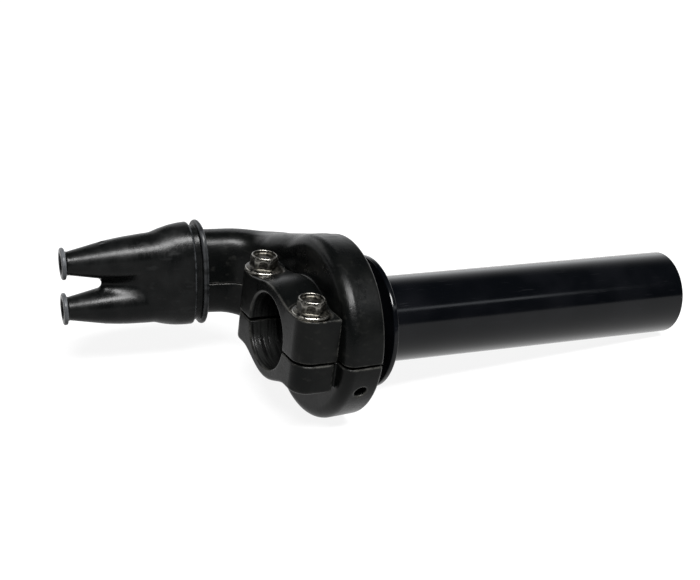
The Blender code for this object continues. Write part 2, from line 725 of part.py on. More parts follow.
def boot_sleeve_sections():
    """The skin: a mouth bead, a groove, the sleeve over the elbow's lip, a step and a narrowing body."""
    bead = 1.0 * MM
    groove = 2.3 * MM
    sleeve = 3.6 * MM
    step = 12.6 * MM
    return [
        (0.0, 9.0 * MM, 15.6 * MM),
        (bead, 9.4 * MM, 16.4 * MM),
        (groove, 8.9 * MM, 15.8 * MM),
        (sleeve, 9.2 * MM, 16.3 * MM),
        (step, 8.8 * MM, 15.9 * MM),
        (step + 3.2 * MM, 7.9 * MM, 14.8 * MM),
        (CROTCH - 9 * MM, 7.2 * MM, 14.3 * MM),
        (CROTCH - 4 * MM, 6.3 * MM, 13.7 * MM),
        (CROTCH - 1.5 * MM, 5.0 * MM, 12.4 * MM),
        (CROTCH, 2.6 * MM, 9.0 * MM),
    ]


def cable_boot(parts, cutters, material):
    """Rubber boot: a wide sleeve over the elbow that forks into two flared outlets, one above the other.

    Its skins run into each other at grazing angles, where the exact solver leaves open edges.
    """
    boot = boot_loft("cable_boot", boot_sleeve_sections(), ELBOW_COUNT, parts, material)
    lip_flare = 0.9 * MM
    lip_width = 0.9 * MM
    lip_start = BOOT_LENGTH - lip_width
    skin = [
        (CROTCH - 8 * MM, OUTLET_ROOT_RADIUS),
        (CROTCH, OUTLET_ROOT_RADIUS),
        (CROTCH + 3.2 * MM, blend(OUTLET_ROOT_RADIUS, OUTLET_NECK_RADIUS, 0.27)),
        (lip_start - lip_flare - 1.2 * MM, OUTLET_NECK_RADIUS),
        (lip_start - lip_flare, OUTLET_NECK_RADIUS),
        (lip_start, OUTLET_LIP_RADIUS),
        (BOOT_LENGTH, OUTLET_LIP_RADIUS),
    ]
    wall = 1.5 * MM
    bore = [
        (CROTCH - 5 * MM, OUTLET_ROOT_RADIUS - wall),
        (CROTCH, OUTLET_ROOT_RADIUS - wall),
        (CROTCH + 8 * MM, OUTLET_BORE),
        (BOOT_LENGTH + 2 * MM, OUTLET_BORE),
    ]
    sides = ((1, "upper"), (-1, "lower"))
    for sign, word in sides:
        boolean(boot, outlet(f"{word}_outlet_skin", skin, sign, cutters), "UNION", "MANIFOLD")
    before_mouth = LEG_LENGTH - BOOT_OVERLAP - 3 * MM
    lip_clearance = LIP_RISE + GAP
    lip_foot = LEG_LENGTH - LIP_LENGTH - GAP
    past_lip = LEG_LENGTH + GAP
    grip_rings = [leg_ring(distance, GAP, ELBOW_COUNT) for distance in (before_mouth, past_lip)]
    groove_rings = [leg_ring(distance, lip_clearance, ELBOW_COUNT) for distance in (lip_foot, past_lip)]
    boolean(boot, loft("boot_grip", grip_rings, cutters), "DIFFERENCE", "MANIFOLD")
    boolean(boot, loft("boot_lip_groove", groove_rings, cutters), "DIFFERENCE", "MANIFOLD")
    hollow = [
        (BOOT_OVERLAP - LIP_LENGTH, 7.4 * MM, 13.4 * MM),
        (BOOT_OVERLAP + 5 * MM, 7.4 * MM, 13.9 * MM),
        (BOOT_OVERLAP + 10 * MM, 6.5 * MM, 13.2 * MM),
        (CROTCH - 7 * MM, 5.6 * MM, 12.6 * MM),
        (CROTCH - 3 * MM, 4.4 * MM, 11.9 * MM),
    ]
    boolean(boot, boot_loft("boot_hollow", hollow, HOLLOW_COUNT, cutters), "DIFFERENCE", "MANIFOLD")
    for sign, word in sides:
        boolean(boot, outlet(f"{word}_outlet_bore", bore, sign, cutters), "DIFFERENCE", "MANIFOLD")


def main():
    for obj in list(bpy.data.objects):
        bpy.data.objects.remove(obj)
    parts = new_collection("throttle_grip")
    cutters = new_collection("cutters")
    cast = new_material("black_cast_aluminium", (0.018, 0.019, 0.020), 0.42, 0.3)
    anodised = new_material("gloss_black_anodised", (0.010, 0.011, 0.013), 0.16, 0.6)
    bolt_steel = new_material("dark_zinc_steel", (0.16, 0.15, 0.13), 0.38, 1.0)
    bright_steel = new_material("bright_steel", (0.62, 0.62, 0.60), 0.28, 1.0)
    acetal = new_material("black_acetal", (0.03, 0.03, 0.032), 0.45)
    nylon = new_material("natural_nylon", (0.72, 0.69, 0.60), 0.5)
    seal_rubber = new_material("seal_rubber", (0.015, 0.015, 0.015), 0.7)
    boot_rubber = new_material("boot_rubber", (0.020, 0.021, 0.022), 0.5)

    housings(parts, cutters, cast)
    clamp_bolts(parts, cutters, bolt_steel)
    dowels(parts, bright_steel)
    throttle_tube(parts, cutters, anodised)
    cable_drum(parts, cutters, acetal)
    snap_ring(parts, cutters, bright_steel)
    drum_rings(parts, nylon, seal_rubber)
    cable_rollers(parts, bright_steel, nylon)
    cable_seat(parts, cutters, acetal)
    cable_boot(parts, cutters, boot_rubber)


main()
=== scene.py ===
"""Looks of a push-pull motorcycle throttle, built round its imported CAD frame.

The cast, moulded and forged pieces are distance fields: a form is an array of distances to its surface,
negative inside, over a grid of points. Forms join with round fillets, as they do in a casting, and the
zero level becomes the mesh. Fields and dimensions are in millimetres, and the scene is in metres. The
axes are the frame's: +X outboard along the handlebar, +Y forward to the cable elbow, +Z up along the
clamp bolts.
"""

import itertools
import json
import math

import bpy
import numpy as np
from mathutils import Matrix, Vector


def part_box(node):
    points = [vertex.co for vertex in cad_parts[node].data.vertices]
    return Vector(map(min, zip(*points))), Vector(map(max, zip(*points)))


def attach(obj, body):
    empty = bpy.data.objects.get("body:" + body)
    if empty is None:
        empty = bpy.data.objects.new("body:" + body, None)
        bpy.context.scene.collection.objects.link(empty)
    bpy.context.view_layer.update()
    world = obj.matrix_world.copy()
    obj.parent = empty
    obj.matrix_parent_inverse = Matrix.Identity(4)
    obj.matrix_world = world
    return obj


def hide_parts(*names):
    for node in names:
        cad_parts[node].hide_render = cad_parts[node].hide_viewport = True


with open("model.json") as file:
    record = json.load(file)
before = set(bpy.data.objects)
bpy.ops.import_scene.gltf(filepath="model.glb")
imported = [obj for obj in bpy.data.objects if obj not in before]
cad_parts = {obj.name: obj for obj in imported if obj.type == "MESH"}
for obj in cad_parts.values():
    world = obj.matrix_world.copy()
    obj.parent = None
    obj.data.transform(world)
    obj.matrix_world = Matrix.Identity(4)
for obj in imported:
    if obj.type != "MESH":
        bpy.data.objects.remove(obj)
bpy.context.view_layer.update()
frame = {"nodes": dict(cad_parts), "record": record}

import openvdb
from mathutils import Matrix, Vector

MM = 0.001


def middle_mm(node):
    """Middle of a CAD node's box, in millimetres."""
    low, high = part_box(node)
    return (Vector(low) + Vector(high)) / 2 / MM


def low_mm(node):
    return Vector(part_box(node)[0]) / MM


def high_mm(node):
    return Vector(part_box(node)[1]) / MM


# Clamp
BAR_RADIUS = 11.1
SPLIT_Z = (low_mm("upper_housing").z + high_mm("lower_housing").z) / 2
SPLIT_GAP = low_mm("upper_housing").z - high_mm("lower_housing").z
ELBOW_SPLIT_GAP = 0.2  # the halves close up tightly along the elbow
CASE_START = 13.0
RING_FRONT_RADIUS = 14.3
RING_BACK_RADIUS = 16.3
BOSS_CAST_TOP = 12.2
SPOTFACE_Z = 12.0
SPOTFACE_RADIUS = 6.2
BOSS_BOTTOM = -10.6
BOSS_OUTER = 22.3
BOSS_CORNER = 5.3
BOSS_FILLET = 3.2
CLAMP_END_UPPER = 12.45
CLAMP_END_LOWER = 11.7
GROOVE_DEPTH = 1.3
CLAMP_CONE_STEEPNESS = 0.988  # brings the ring's taper back to a true distance
BORE_RING_PITCH = 0.8

# Bolts and dowels
BOLT = middle_mm("clamp_bolt_front")
BOLT_TIP = low_mm("clamp_bolt_front").z
BOLT_TOP = high_mm("clamp_bolt_front").z
BOLT_RADIUS = 3.0
BOLT_SEAT = SPOTFACE_Z + 0.06
HEX_FLATS = 7.7
HEX_CORNER = 0.9
HEX_TURN = math.radians(3.0)
CHAMFER_START = 3.75
CHAMFER_ANGLE = math.radians(66.0)
FLANGE_RADIUS = 5.5
FLANGE_RIM = 0.75
FLANGE_SLOPE = 0.42
FLANGE_STEEPNESS = 0.92  # brings the sloping flange back to a true distance
DISH_RADIUS = 3.4
DISH_DEPTH = 1.25
DISH_CROWN = 0.35
DISH_FILLET = 0.9
DOWEL = middle_mm("locating_dowel_front")
DOWEL_RADIUS = 1.5
DOWEL_REACH = 4.3
THREAD_PITCH = 1.0
THREAD_DEPTH = 0.5
THREAD_TOP = 0.5
THREAD_STEEPNESS = 0.8  # brings the thread's flanks back to a true distance

# Drum case
CASE_RADIUS = -low_mm("lower_housing").z
CASE_END = high_mm("lower_housing").x
CASE_RIM_RADIUS = CASE_RADIUS - 0.5
CASE_SHOULDER = 3.3
CASE_LIP = 0.8
CASE_WALL = 2.3
CAVITY_START = 14.9
CAVITY_END = 23.3
SEAL_OUTER = 16.5
SEAL_SEAT_X = 24.0
DRAIN_X = 19.7
DRAIN_ANGLE = math.radians(22.3)
DRAIN_RADIUS = 1.85
DRAIN_FLARE = 0.6

# Elbow
BEND_X = 4.0
BEND_Y = 30.5
BEND_END_RADIUS = 14.5
LEG_LEAN = math.radians(5.0)
LEG_LENGTH = 13.3
LEG_HALF_WIDTH = 6.75
CASE_HALF_WIDTH = 6.0
MOUTH_HALF_WIDTH = 7.0
MOUTH_HALF_HEIGHT = 13.3
ROOF_SLOPE = 0.35
ELBOW_WALL = 2.1
ELBOW_INSET = 0.25
CASE_SQUARENESS = 5.0
BEND_SQUARENESS = 3.6
MOUTH_SQUARENESS = 2.6
LIP_RISE = 0.6
LIP_LENGTH = 1.6
ROLLER = middle_mm("roller_pin")
ROLLER_POCKET_RADIUS = 4.6
ROLLER_POCKET_HALF_HEIGHT = 10.8
PIN_HOLE_RADIUS = 1.8
PIN_HOLE_HALF_LENGTH = 12.2

# Tube
TUBE_START = low_mm("throttle_tube").x
TUBE_END = high_mm("throttle_tube").x
TUBE_RADIUS = 12.85
TUBE_BORE = 11.4
COLLAR_RADIUS = high_mm("throttle_tube").y
COLLAR_START = 31.6
COLLAR_THICKNESS = 1.7
KEY_SLOT_HALF = 2.3
KEY_SLOT_END = 20.7

# Boot: stations are (distance from its bead, size) pairs
BOOT_BOX = ((-54.0, 33.0, -27.0), (1.0, 61.5, 20.5))
BOOT_OVERLAP = 6.4
BOOT_LENGTH = 43.0
BOOT_LEAN = math.radians(5.0)
BOOT_SAG = math.radians(5.2)
BOOT_WIDE_SQUARENESS = 2.45
BOOT_SQUARENESS = 2.05
BEAD_WIDTH = 1.7
BEAD_HALF_WIDTH = 9.9
BEAD_HALF_HEIGHT = 16.6
BEAD_GROOVE = 1.9
GROOVE_SINK = 1.2
SLEEVE_END = 18.0
CROTCH = 31.0
OUTLET_SPACING = 7.45
WEB_HALF_HEIGHT = 10.0
OUTLET_BORE = 2.5
OUTLET_LIP_RADIUS = 4.95
OUTLET_LIP_LENGTH = 1.35
BORE_START = 18.0
INNER_START = 4.0
INNER_END = 24.0
BOOT_FIT = 0.12
# x span where the outlet lips go lighter: partly dust, partly a painted highlight
OUTLET_DUST_AND_HIGHLIGHT_X = (-43.5, -42.5)
SLEEVE_WIDTHS = ((-3.0, 9.1), (3.4, 9.2), (11.0, 9.0), (13.4, 8.5), (15.0, 7.6), (16.6, 6.6), (19.0, 6.0))
SLEEVE_HEIGHTS = (
    (-3.0, 16.2),
    (3.4, 16.4),
    (9.0, 16.2),
    (12.0, 15.7),
    (14.0, 14.9),
    (15.6, 13.8),
    (19.0, 12.4),
)
LOBE_RADII = (
    (8.0, 7.0),
    (16.0, 6.95),
    (22.0, 6.65),
    (27.0, 6.2),
    (31.0, 5.6),
    (36.0, 4.6),
    (41.0, 3.6),
    (60.0, 0.0),
)
WEB_WIDTHS = ((8.0, 7.2), (14.0, 6.7), (18.0, 5.3), (22.0, 3.7), (27.0, 2.2), (31.0, 1.0))
BORE_RADII = (
    (BORE_START, 4.4),
    (29.0, 4.3),
    (36.0, 3.0),
    (39.0, OUTLET_BORE),
    (41.6, OUTLET_BORE),
    (43.6, 3.6),
)
INNER_WIDTHS = ((INNER_START, 7.4), (10.8, 7.2), (14.0, 5.2), (BORE_START, 3.8), (INNER_END, 1.6))
INNER_HEIGHTS = ((INNER_START, 13.4), (10.8, 13.4), (14.0, 12.0), (BORE_START, 11.7), (INNER_END, 11.2))

# Camera, in metres
LENS = 90.3
SENSOR_WIDTH = 36.0
CAMERA_PLACE = (-0.2081, -0.4138, 0.2071)
CAMERA_RIGHT = (0.88666, -0.44855, 0.11240)
CAMERA_BACK = (-0.45528, -0.80425, 0.38198)

# Studio: each light is a direction, its long side, its size in metres and its brightness
TABLE_SIZE = 6.0
TABLE_GLOW = 0.88
COVE_FADE = (0.12, 0.72)  # height of a direction: full below the first, dark above the second
COVE_TURN = (0.1, 0.6)  # cosine from straight behind: dark below the first, full above the second
HORIZON_FADE = (0.0, 0.08)
HORIZON_SHARE = 0.5
COVE_COLOUR = (1.70, 1.72, 1.75)
ROOM_COLOUR = (0.02, 0.021, 0.023)
KEY = ((-0.12, -0.50, 0.76), (1.0, 0.0, 0.0), (0.95, 0.30), 80.0)
RIM = ((-0.45, 0.75, 0.48), (0.86, 0.51, 0.0), (0.90, 0.35), 2.5)
STRIP = ((0.455, -0.642, 0.615), (0.84, 0.02, 0.10), (0.62, 0.08), 3.7)
STRIP_COLOUR = (0.90, 0.95, 1.0)
LIGHT_AIM = (0.05, 0.01, 0.0)

ALONG_LEG = (-math.cos(LEG_LEAN), math.sin(LEG_LEAN))
ACROSS_LEG = (math.sin(LEG_LEAN), math.cos(LEG_LEAN))
HOUSING_STEP = 0.27
BOOT_STEP = 0.26
BOLT_STEP = 0.11
MOST_TRIANGLES = 110000
MOST_BOLT_TRIANGLES = 60000


# ---------------------------------------------------------------- distance fields


class Space:
    """A grid of points over a box, in millimetres. x, y and z broadcast against each other."""

    def __init__(self, low, high, step):
        self.low = np.array(low, np.float32)
        self.step = step
        lines = []
        for start, end in zip(low, high):
            count = math.ceil((end - start) / step) + 1
            lines.append(start + step * np.arange(count, dtype=np.float32))
        self.x, self.y, self.z = np.meshgrid(*lines, indexing="ij", sparse=True)


def blend(first, second, t):
    return first + (second - first) * t


def smoothstep(t):
    t = np.clip(t, 0.0, 1.0)
    return t * t * (3 - 2 * t)


def join(first, second, fillet=0.0):
    """Union of two forms, with a fillet in the corner between them."""
    if np.isscalar(fillet) and fillet == 0.0:
        return np.minimum(first, second)
    near = np.hypot(np.maximum(fillet - first, 0), np.maximum(fillet - second, 0))
    return np.maximum(fillet, np.minimum(first, second)) - near


def keep(first, second, edge=0.0):
    """What lies in both forms, with a round edge where their surfaces cross."""
    if np.isscalar(edge) and edge == 0.0:
        return np.maximum(first, second)
    near = np.hypot(np.maximum(edge + first, 0), np.maximum(edge + second, 0))
    return np.minimum(-edge, np.maximum(first, second)) + near


def cut(form, hollow, edge=0.0):
    return keep(form, -hollow, edge)


def softened(field, reach):
    """The field averaged over this many steps each way, twice: creases go round and flats stay."""
    width = 2 * reach + 1
    for axis in (0, 1, 2) * 2:
        margin = [(0, 0)] * 3
        margin[axis] = (reach + 1, reach)
        total = np.cumsum(np.pad(field, margin, mode="edge"), axis=axis, dtype=np.float64)
        after = np.take(total, range(width, total.shape[axis]), axis=axis)
        before = np.take(total, range(total.shape[axis] - width), axis=axis)
        field = ((after - before) / width).astype(np.float32)
    return field


def between(value, low, high):
    return np.maximum(low - value, value - high)


def superellipse(u, v, half_width, rise, fall, exponent):
    """About the distance to a superellipse with its own heights above and below its centre."""
    least_height = 0.1
    least_part = 1e-4
    height = np.maximum(np.where(v > 0, rise, fall), least_height)
    a = np.maximum(np.abs(u) / half_width, least_part)
    b = np.maximum(np.abs(v) / height, least_part)
    size = (a**exponent + b**exponent) ** (1 / exponent)
    slope = np.hypot(a ** (exponent - 1) / half_width, b ** (exponent - 1) / height)
    return (size - 1) / (slope * size ** (1 - exponent))


def smooth_table(stations):
    """(places, values) of a smooth curve through (place, value) stations that never overshoots them."""
    places = np.array([p for p, _ in stations], float)
    values = np.array([v for _, v in stations], float)
    rates = np.diff(values) / np.diff(places)
    slopes = np.zeros(len(places))
    for i in range(1, len(places) - 1):
        if rates[i - 1] * rates[i] > 0:
            slopes[i] = 2 * rates[i - 1] * rates[i] / (rates[i - 1] + rates[i])
    spacing = 0.05
    fine = np.arange(places[0], places[-1], spacing)
    i = np.clip(np.searchsorted(places, fine, side="right") - 1, 0, len(places) - 2)
    length = places[i + 1] - places[i]
    t = (fine - places[i]) / length
    curve = (2 * t**3 - 3 * t**2 + 1) * values[i] + (t**3 - 2 * t**2 + t) * length * slopes[i]
    curve += (3 * t**2 - 2 * t**3) * values[i + 1] + (t**3 - t**2) * length * slopes[i + 1]
    return fine, curve


def along_curve(place, stations):
    fine, curve = smooth_table(stations)
    return np.interp(place, fine, curve).astype(np.float32)


def sample(field, places):
    """The field between its points, places given in grid steps."""
    base = np.clip(np.floor(places).astype(int), 0, np.array(field.shape) - 2)
    part = places - base
    total = np.zeros(len(places))
    for corner in itertools.product((0, 1), repeat=3):
        weight = np.prod(np.where(corner, part, 1 - part), axis=1)
        i, j, k = (base + corner).T
        total += weight * field[i, j, k]
    return total


def new_object(name, data):
    """Object in the scene, of a mesh, a camera or a light."""
    obj = bpy.data.objects.new(name, data)
    bpy.context.scene.collection.objects.link(obj)
    return obj


def placement(right, up, back, place):
    """Matrix from an object's three axes and its place, in metres."""
    rows = [(right[i], up[i], back[i], place[i]) for i in range(3)]
    return Matrix((*rows, (0.0, 0.0, 0.0, 1.0)))


def apply_modifiers(obj):
    """Give the object the mesh that its modifiers make."""
    evaluated = obj.evaluated_get(bpy.context.evaluated_depsgraph_get())
    old = obj.data
    obj.data = bpy.data.meshes.new_from_object(evaluated)
    obj.modifiers.clear()
    bpy.data.meshes.remove(old)


def decimate(obj, most_triangles):
    """Give the object a mesh of at most so many triangles."""
    now = sum(len(p.vertices) - 2 for p in obj.data.polygons)
    if now > most_triangles:
        obj.modifiers.new("Fewer", "DECIMATE").ratio = most_triangles / now
        apply_modifiers(obj)


def quad_mesh(name, places, quads):
    """Mesh of these quads, wound so that they face outward."""
    a, b, c, d = (places[quads[:, i]] for i in range(4))
    volume = np.einsum("ij,ij->i", a, np.cross(b, c)).sum()
    volume += np.einsum("ij,ij->i", a, np.cross(c, d)).sum()
    if volume < 0:
        quads = quads[:, ::-1]
    mesh = bpy.data.meshes.new(name)
    mesh.vertices.add(len(places))
    mesh.vertices.foreach_set("co", places.astype(np.float32).ravel())
    mesh.loops.add(quads.size)
    mesh.loops.foreach_set("vertex_index", quads.astype(np.int32).ravel())
    mesh.polygons.add(len(quads))
    mesh.polygons.foreach_set("loop_start", np.arange(0, quads.size, 4, dtype=np.int32))
    mesh.update(calc_edges=True)
    return mesh


def shade_from_field(mesh, space, field):
    """Give the mesh the field's own normals, and an edge attribute that says how convex it is."""
    most_edge = 3
    where = np.zeros(len(mesh.vertices) * 3, np.float32)
    mesh.vertices.foreach_get("co", where)
    where = (where.reshape(-1, 3) / MM - space.low) / space.step
    normal = np.zeros((len(where), 3))
    spread = -6 * sample(field, where)
    for axis in range(3):
        reach = np.zeros(3)
        reach[axis] = 1.0
        after = sample(field, where + reach)
        before = sample(field, where - reach)
        normal[:, axis] = after - before
        spread += after + before
    normal /= np.maximum(np.linalg.norm(normal, axis=1, keepdims=True), 1e-9)
    mesh.shade_smooth()
    mesh.normals_split_custom_set_from_vertices(normal.tolist())
    edge = mesh.attributes.new("edge", "FLOAT", "POINT")
    convexity = np.clip(spread / space.step**2, -most_edge, most_edge)
    edge.data.foreach_set("value", convexity.astype(np.float32))


def field_object(name, space, field, material, most_triangles=MOST_TRIANGLES):
    """Object of a field's zero level."""
    grid = openvdb.FloatGrid(3.0)
    grid.copyFromArray(np.ascontiguousarray(field, dtype=np.float32))
    points, quads = grid.convertToQuads(isovalue=0.0)
    places = (points * space.step + space.low) * MM
    obj = new_object(name, quad_mesh(name, places, quads))
    decimate(obj, most_triangles)
    obj.data.materials.append(material)
    shade_from_field(obj.data, space, field)
    return obj


# ---------------------------------------------------------------- materials

PAINT_DARK = (0.0005, 0.0006, 0.0006)
PAINT_LIGHT = (0.0012, 0.0013, 0.0012)
PAINT_SCUFFED = (0.004, 0.004, 0.0035)
# colour of the convex edges: worn paint, and partly a painted highlight along them
PAINT_WORN_AND_HIGHLIGHT = (0.024, 0.0235, 0.0215)
BORE_DARK = (0.0008, 0.0008, 0.0008)
BORE_LIGHT = (0.006, 0.0062, 0.006)
BARE_DARK = (0.010, 0.009, 0.007)
BARE_LIGHT = (0.085, 0.078, 0.064)
BOOT_DARK = (0.0006, 0.0007, 0.0007)
BOOT_LIGHT = (0.0015, 0.0016, 0.0016)
SEAL_DARK = (0.003, 0.003, 0.003)
SEAL_LIGHT = (0.006, 0.006, 0.006)
# colour of the lighter convex edges and outlet lips: dust, and partly a painted highlight
RUBBER_DUST_AND_HIGHLIGHT = (0.045, 0.047, 0.050)
ZINC_DARK = (0.010, 0.0095, 0.008)
ZINC_LIGHT = (0.048, 0.045, 0.038)
ZINC_STAIN = (0.008, 0.0078, 0.007)
ZINC_EDGE = (0.19, 0.183, 0.166)
ANODISING_DARK = (0.0004, 0.0005, 0.0007)
ANODISING_LIGHT = (0.0009, 0.0010, 0.0013)
ANODISING_HAIR = (0.01, 0.01, 0.0115)
STEEL_DARK = (0.46, 0.46, 0.45)
STEEL_LIGHT = (0.66, 0.66, 0.64)
ACETAL_DARK = (0.012, 0.012, 0.013)
ACETAL_LIGHT = (0.022, 0.022, 0.024)
NYLON_DARK = (0.60, 0.57, 0.48)
NYLON_LIGHT = (0.72, 0.69, 0.60)
PAPER_DARK = (0.075, 0.075, 0.075)
PAPER_LIGHT = (0.082, 0.082, 0.082)
MIX_FIRST, MIX_SECOND, MIX_RESULT = 6, 7, 2  # a Mix node's sockets for colours


class Nodes:
    """Short calls for the nodes of a shader tree."""

    def __init__(self, tree):
        self.tree = tree

    def node(self, kind, **settings):
        found = self.tree.nodes.new(kind)
        for key, value in settings.items():
            setattr(found, key, value)
        return found

    def feed(self, socket, value):
        if isinstance(value, bpy.types.NodeSocket):
            self.tree.links.new(value, socket)
        else:
            socket.default_value = value

    def math(self, operation, first, second=0.0, third=0.0):
        found = self.node("ShaderNodeMath", operation=operation)
        for socket, value in zip(found.inputs, (first, second, third)):
            self.feed(socket, value)
        return found.outputs[0]

    def fit(self, value, low, high, new_low=0.0, new_high=1.0):
        """The value's range low to high, stretched smoothly to a new one and held there."""
        found = self.node("ShaderNodeMapRange", interpolation_type="SMOOTHSTEP")
        for socket, number in zip(found.inputs, (value, low, high, new_low, new_high)):
            self.feed(socket, number)
        return found.outputs["Result"]

    def mix(self, factor, first, second):
        """A colour between two, each given as red, green and blue or as a socket."""
        found = self.node("ShaderNodeMix", data_type="RGBA")
        self.feed(found.inputs["Factor"], factor)
        for index, value in ((MIX_FIRST, first), (MIX_SECOND, second)):
            is_socket = isinstance(value, bpy.types.NodeSocket)
            self.feed(found.inputs[index], value if is_socket else (*value, 1.0))
        return found.outputs[MIX_RESULT]

    def parts(self, vector):
        found = self.node("ShaderNodeSeparateXYZ")
        self.feed(found.inputs[0], vector)
        return found.outputs


class Paint(Nodes):
    """A Principled material, with the maps that its looks repeat."""

    def __init__(self, name, roughness=0.5, metallic=0.0, specular=0.5):
        self.material = bpy.data.materials.new(name)
        self.material.use_nodes = True
        super().__init__(self.material.node_tree)
        self.shader = self.tree.nodes["Principled BSDF"]
        self.shader.inputs["Roughness"].default_value = roughness
        self.shader.inputs["Metallic"].default_value = metallic
        self.shader.inputs["Specular IOR Level"].default_value = specular
        self.place = self.node("ShaderNodeTexCoord").outputs["Object"]

    def scaled_place(self, stretch):
        mapping = self.node("ShaderNodeMapping")
        self.feed(mapping.inputs["Vector"], self.place)
        mapping.inputs["Scale"].default_value = stretch
        return mapping.outputs["Vector"]

    def noise(self, size_mm, detail=2.0, stretch=(1, 1, 1)):
        """Noise with features of about this size."""
        found = self.node("ShaderNodeTexNoise")
        self.feed(found.inputs["Vector"], self.scaled_place(stretch))
        found.inputs["Scale"].default_value = 1 / (size_mm * MM)
        found.inputs["Detail"].default_value = detail
        return found.outputs["Fac"]

    def specks(self, size_mm):
        found = self.node("ShaderNodeTexVoronoi")
        self.feed(found.inputs["Vector"], self.place)
        found.inputs["Scale"].default_value = 1 / (size_mm * MM)
        return found.outputs["Distance"]

    def from_axis(self, first, second):
        """Distance from an axis, from the two offsets across it."""
        squares = self.math("ADD", self.math("POWER", first, 2.0), self.math("POWER", second, 2.0))
        return self.math("SQRT", squares)

    def attribute(self, name):
        return self.node("ShaderNodeAttribute", attribute_name=name).outputs["Fac"]

    def colour(self, value):
        self.feed(self.shader.inputs["Base Color"], value)

    def rough(self, value):
        self.feed(self.shader.inputs["Roughness"], value)

    def metal(self, value):
        self.feed(self.shader.inputs["Metallic"], value)

    def bump(self, *layers):
        """Bump from (height, depth in millimetres) layers."""
        normal = None
        for height, depth in layers:
            found = self.node("ShaderNodeBump")
            found.inputs["Strength"].default_value = 1.0
            found.inputs["Distance"].default_value = depth * MM
            self.feed(found.inputs["Height"], height)
            if normal:
                self.feed(found.inputs["Normal"], normal)
            normal = found.outputs["Normal"]
        self.feed(self.shader.inputs["Normal"], normal)


def spotface_share(paint):
    """One on the bare spotfaces under the bolts, zero elsewhere."""
    x, y, z = paint.parts(paint.place)
    along = paint.math("SUBTRACT", x, BOLT.x * MM)
    across = paint.math("SUBTRACT", paint.math("ABSOLUTE", y), BOLT.y * MM)
    from_bolt = paint.from_axis(along, across)
    in_circle = paint.fit(from_bolt, (SPOTFACE_RADIUS - 0.05) * MM, SPOTFACE_RADIUS * MM, 1.0, 0.0)
    from_floor = paint.math("ABSOLUTE", paint.math("SUBTRACT", z, SPOTFACE_Z * MM))
    on_floor = paint.fit(from_floor, 0.06 * MM, 0.14 * MM, 1.0, 0.0)
    return paint.math("MULTIPLY", in_circle, on_floor)


def bore_share(paint):
    """One on the handlebar bore, zero elsewhere."""
    _, y, z = paint.parts(paint.place)
    from_bar = paint.from_axis(y, z)
    return paint.fit(from_bar, (BAR_RADIUS + 0.05) * MM, (BAR_RADIUS + 0.22) * MM, 1.0, 0.0)


def painted_casting():
    """Satin black paint on a die casting: cast grain, faint wear and a painted highlight on the convex
    edges, bare spotfaces and bore.
    """
    paint = Paint("painted_casting", specular=0.07)
    cloud = paint.noise(9.0, 3.0)
    grain = paint.noise(0.42, 3.0)
    pits = paint.specks(1.1)
    scuff = paint.noise(2.6, 6.0, (1.0, 0.5, 1.6))
    rings = paint.fit(paint.noise(BORE_RING_PITCH, 4.0, (1.0, 0.07, 0.07)), 0.35, 0.65)
    spotface = spotface_share(paint)
    in_bore = bore_share(paint)
    edge = paint.fit(paint.attribute("edge"), 0.5, 2.0)
    # convex edges go lighter and slightly metallic: partly worn paint, partly a painted highlight along
    # the rims
    wear_and_highlight = paint.math("MULTIPLY", edge, paint.fit(scuff, 0.40, 0.60, 0.15, 1.0))

    tone = paint.mix(paint.fit(cloud, 0.35, 0.7), PAINT_DARK, PAINT_LIGHT)
    tone = paint.mix(paint.fit(scuff, 0.56, 0.74, 0.0, 0.5), tone, PAINT_SCUFFED)
    tone = paint.mix(paint.math("MULTIPLY", wear_and_highlight, 0.5), tone, PAINT_WORN_AND_HIGHLIGHT)
    bore_tone = paint.mix(rings, BORE_DARK, BORE_LIGHT)
    tone = paint.mix(paint.math("MULTIPLY", in_bore, 0.9), tone, bore_tone)
    bare = paint.mix(paint.fit(scuff, 0.4, 0.6), BARE_DARK, BARE_LIGHT)
    paint.colour(paint.mix(spotface, tone, bare))
    paint.metal(paint.math("MAXIMUM", spotface, paint.math("MULTIPLY", wear_and_highlight, 0.2)))
    rough = paint.fit(cloud, 0.3, 0.7, 0.26, 0.33)
    paint.rough(paint.math("ADD", rough, paint.fit(scuff, 0.5, 0.8, 0.0, 0.14)))
    machined = paint.math("MULTIPLY", rings, in_bore)
    paint.bump((grain, 0.028), (pits, 0.012), (cloud, 0.10), (machined, 0.06))
    return paint.material


def moulded_rubber(name, dark, light, roughness):
    """Satin moulded rubber: fine skin, soft waves from the mould, dull marks where it has been handled."""
    paint = Paint(name, specular=0.08)
    skin = paint.noise(0.35, 2.0)
    waves = paint.noise(6.0, 2.0)
    marks = paint.noise(3.0, 5.0, (0.5, 1.0, 1.4))
    rub = paint.noise(0.9, 3.0, (1.0, 1.0, 0.12))
    tone = paint.mix(paint.fit(waves, 0.35, 0.7), dark, light)
    tone = paint.mix(paint.fit(marks, 0.58, 0.75, 0.0, 0.5), tone, [3 * value for value in light])
    # convex edges and the outlet lips go lighter: partly dust, partly a painted highlight where they face
    # the light
    x = paint.parts(paint.place)["X"]
    by_outlets = paint.fit(x, OUTLET_DUST_AND_HIGHLIGHT_X[0] * MM, OUTLET_DUST_AND_HIGHLIGHT_X[1] * MM, 0.4, 0.0)
    patches = paint.math("ADD", paint.fit(marks, 0.35, 0.6, 0.05, 0.3), by_outlets)
    dust_and_highlight = paint.math("MULTIPLY", paint.fit(paint.attribute("edge"), 0.5, 1.8), patches)
    paint.colour(paint.mix(dust_and_highlight, tone, RUBBER_DUST_AND_HIGHLIGHT))
    rough = paint.fit(waves, 0.3, 0.7, roughness - 0.04, roughness + 0.05)
    rough = paint.math("ADD", rough, paint.fit(rub, 0.45, 0.7, 0.0, 0.07))
    paint.rough(paint.math("ADD", rough, paint.fit(marks, 0.5, 0.75, 0.0, 0.10)))
    paint.bump((skin, 0.012), (rub, 0.02), (waves, 0.10))
    return paint.material


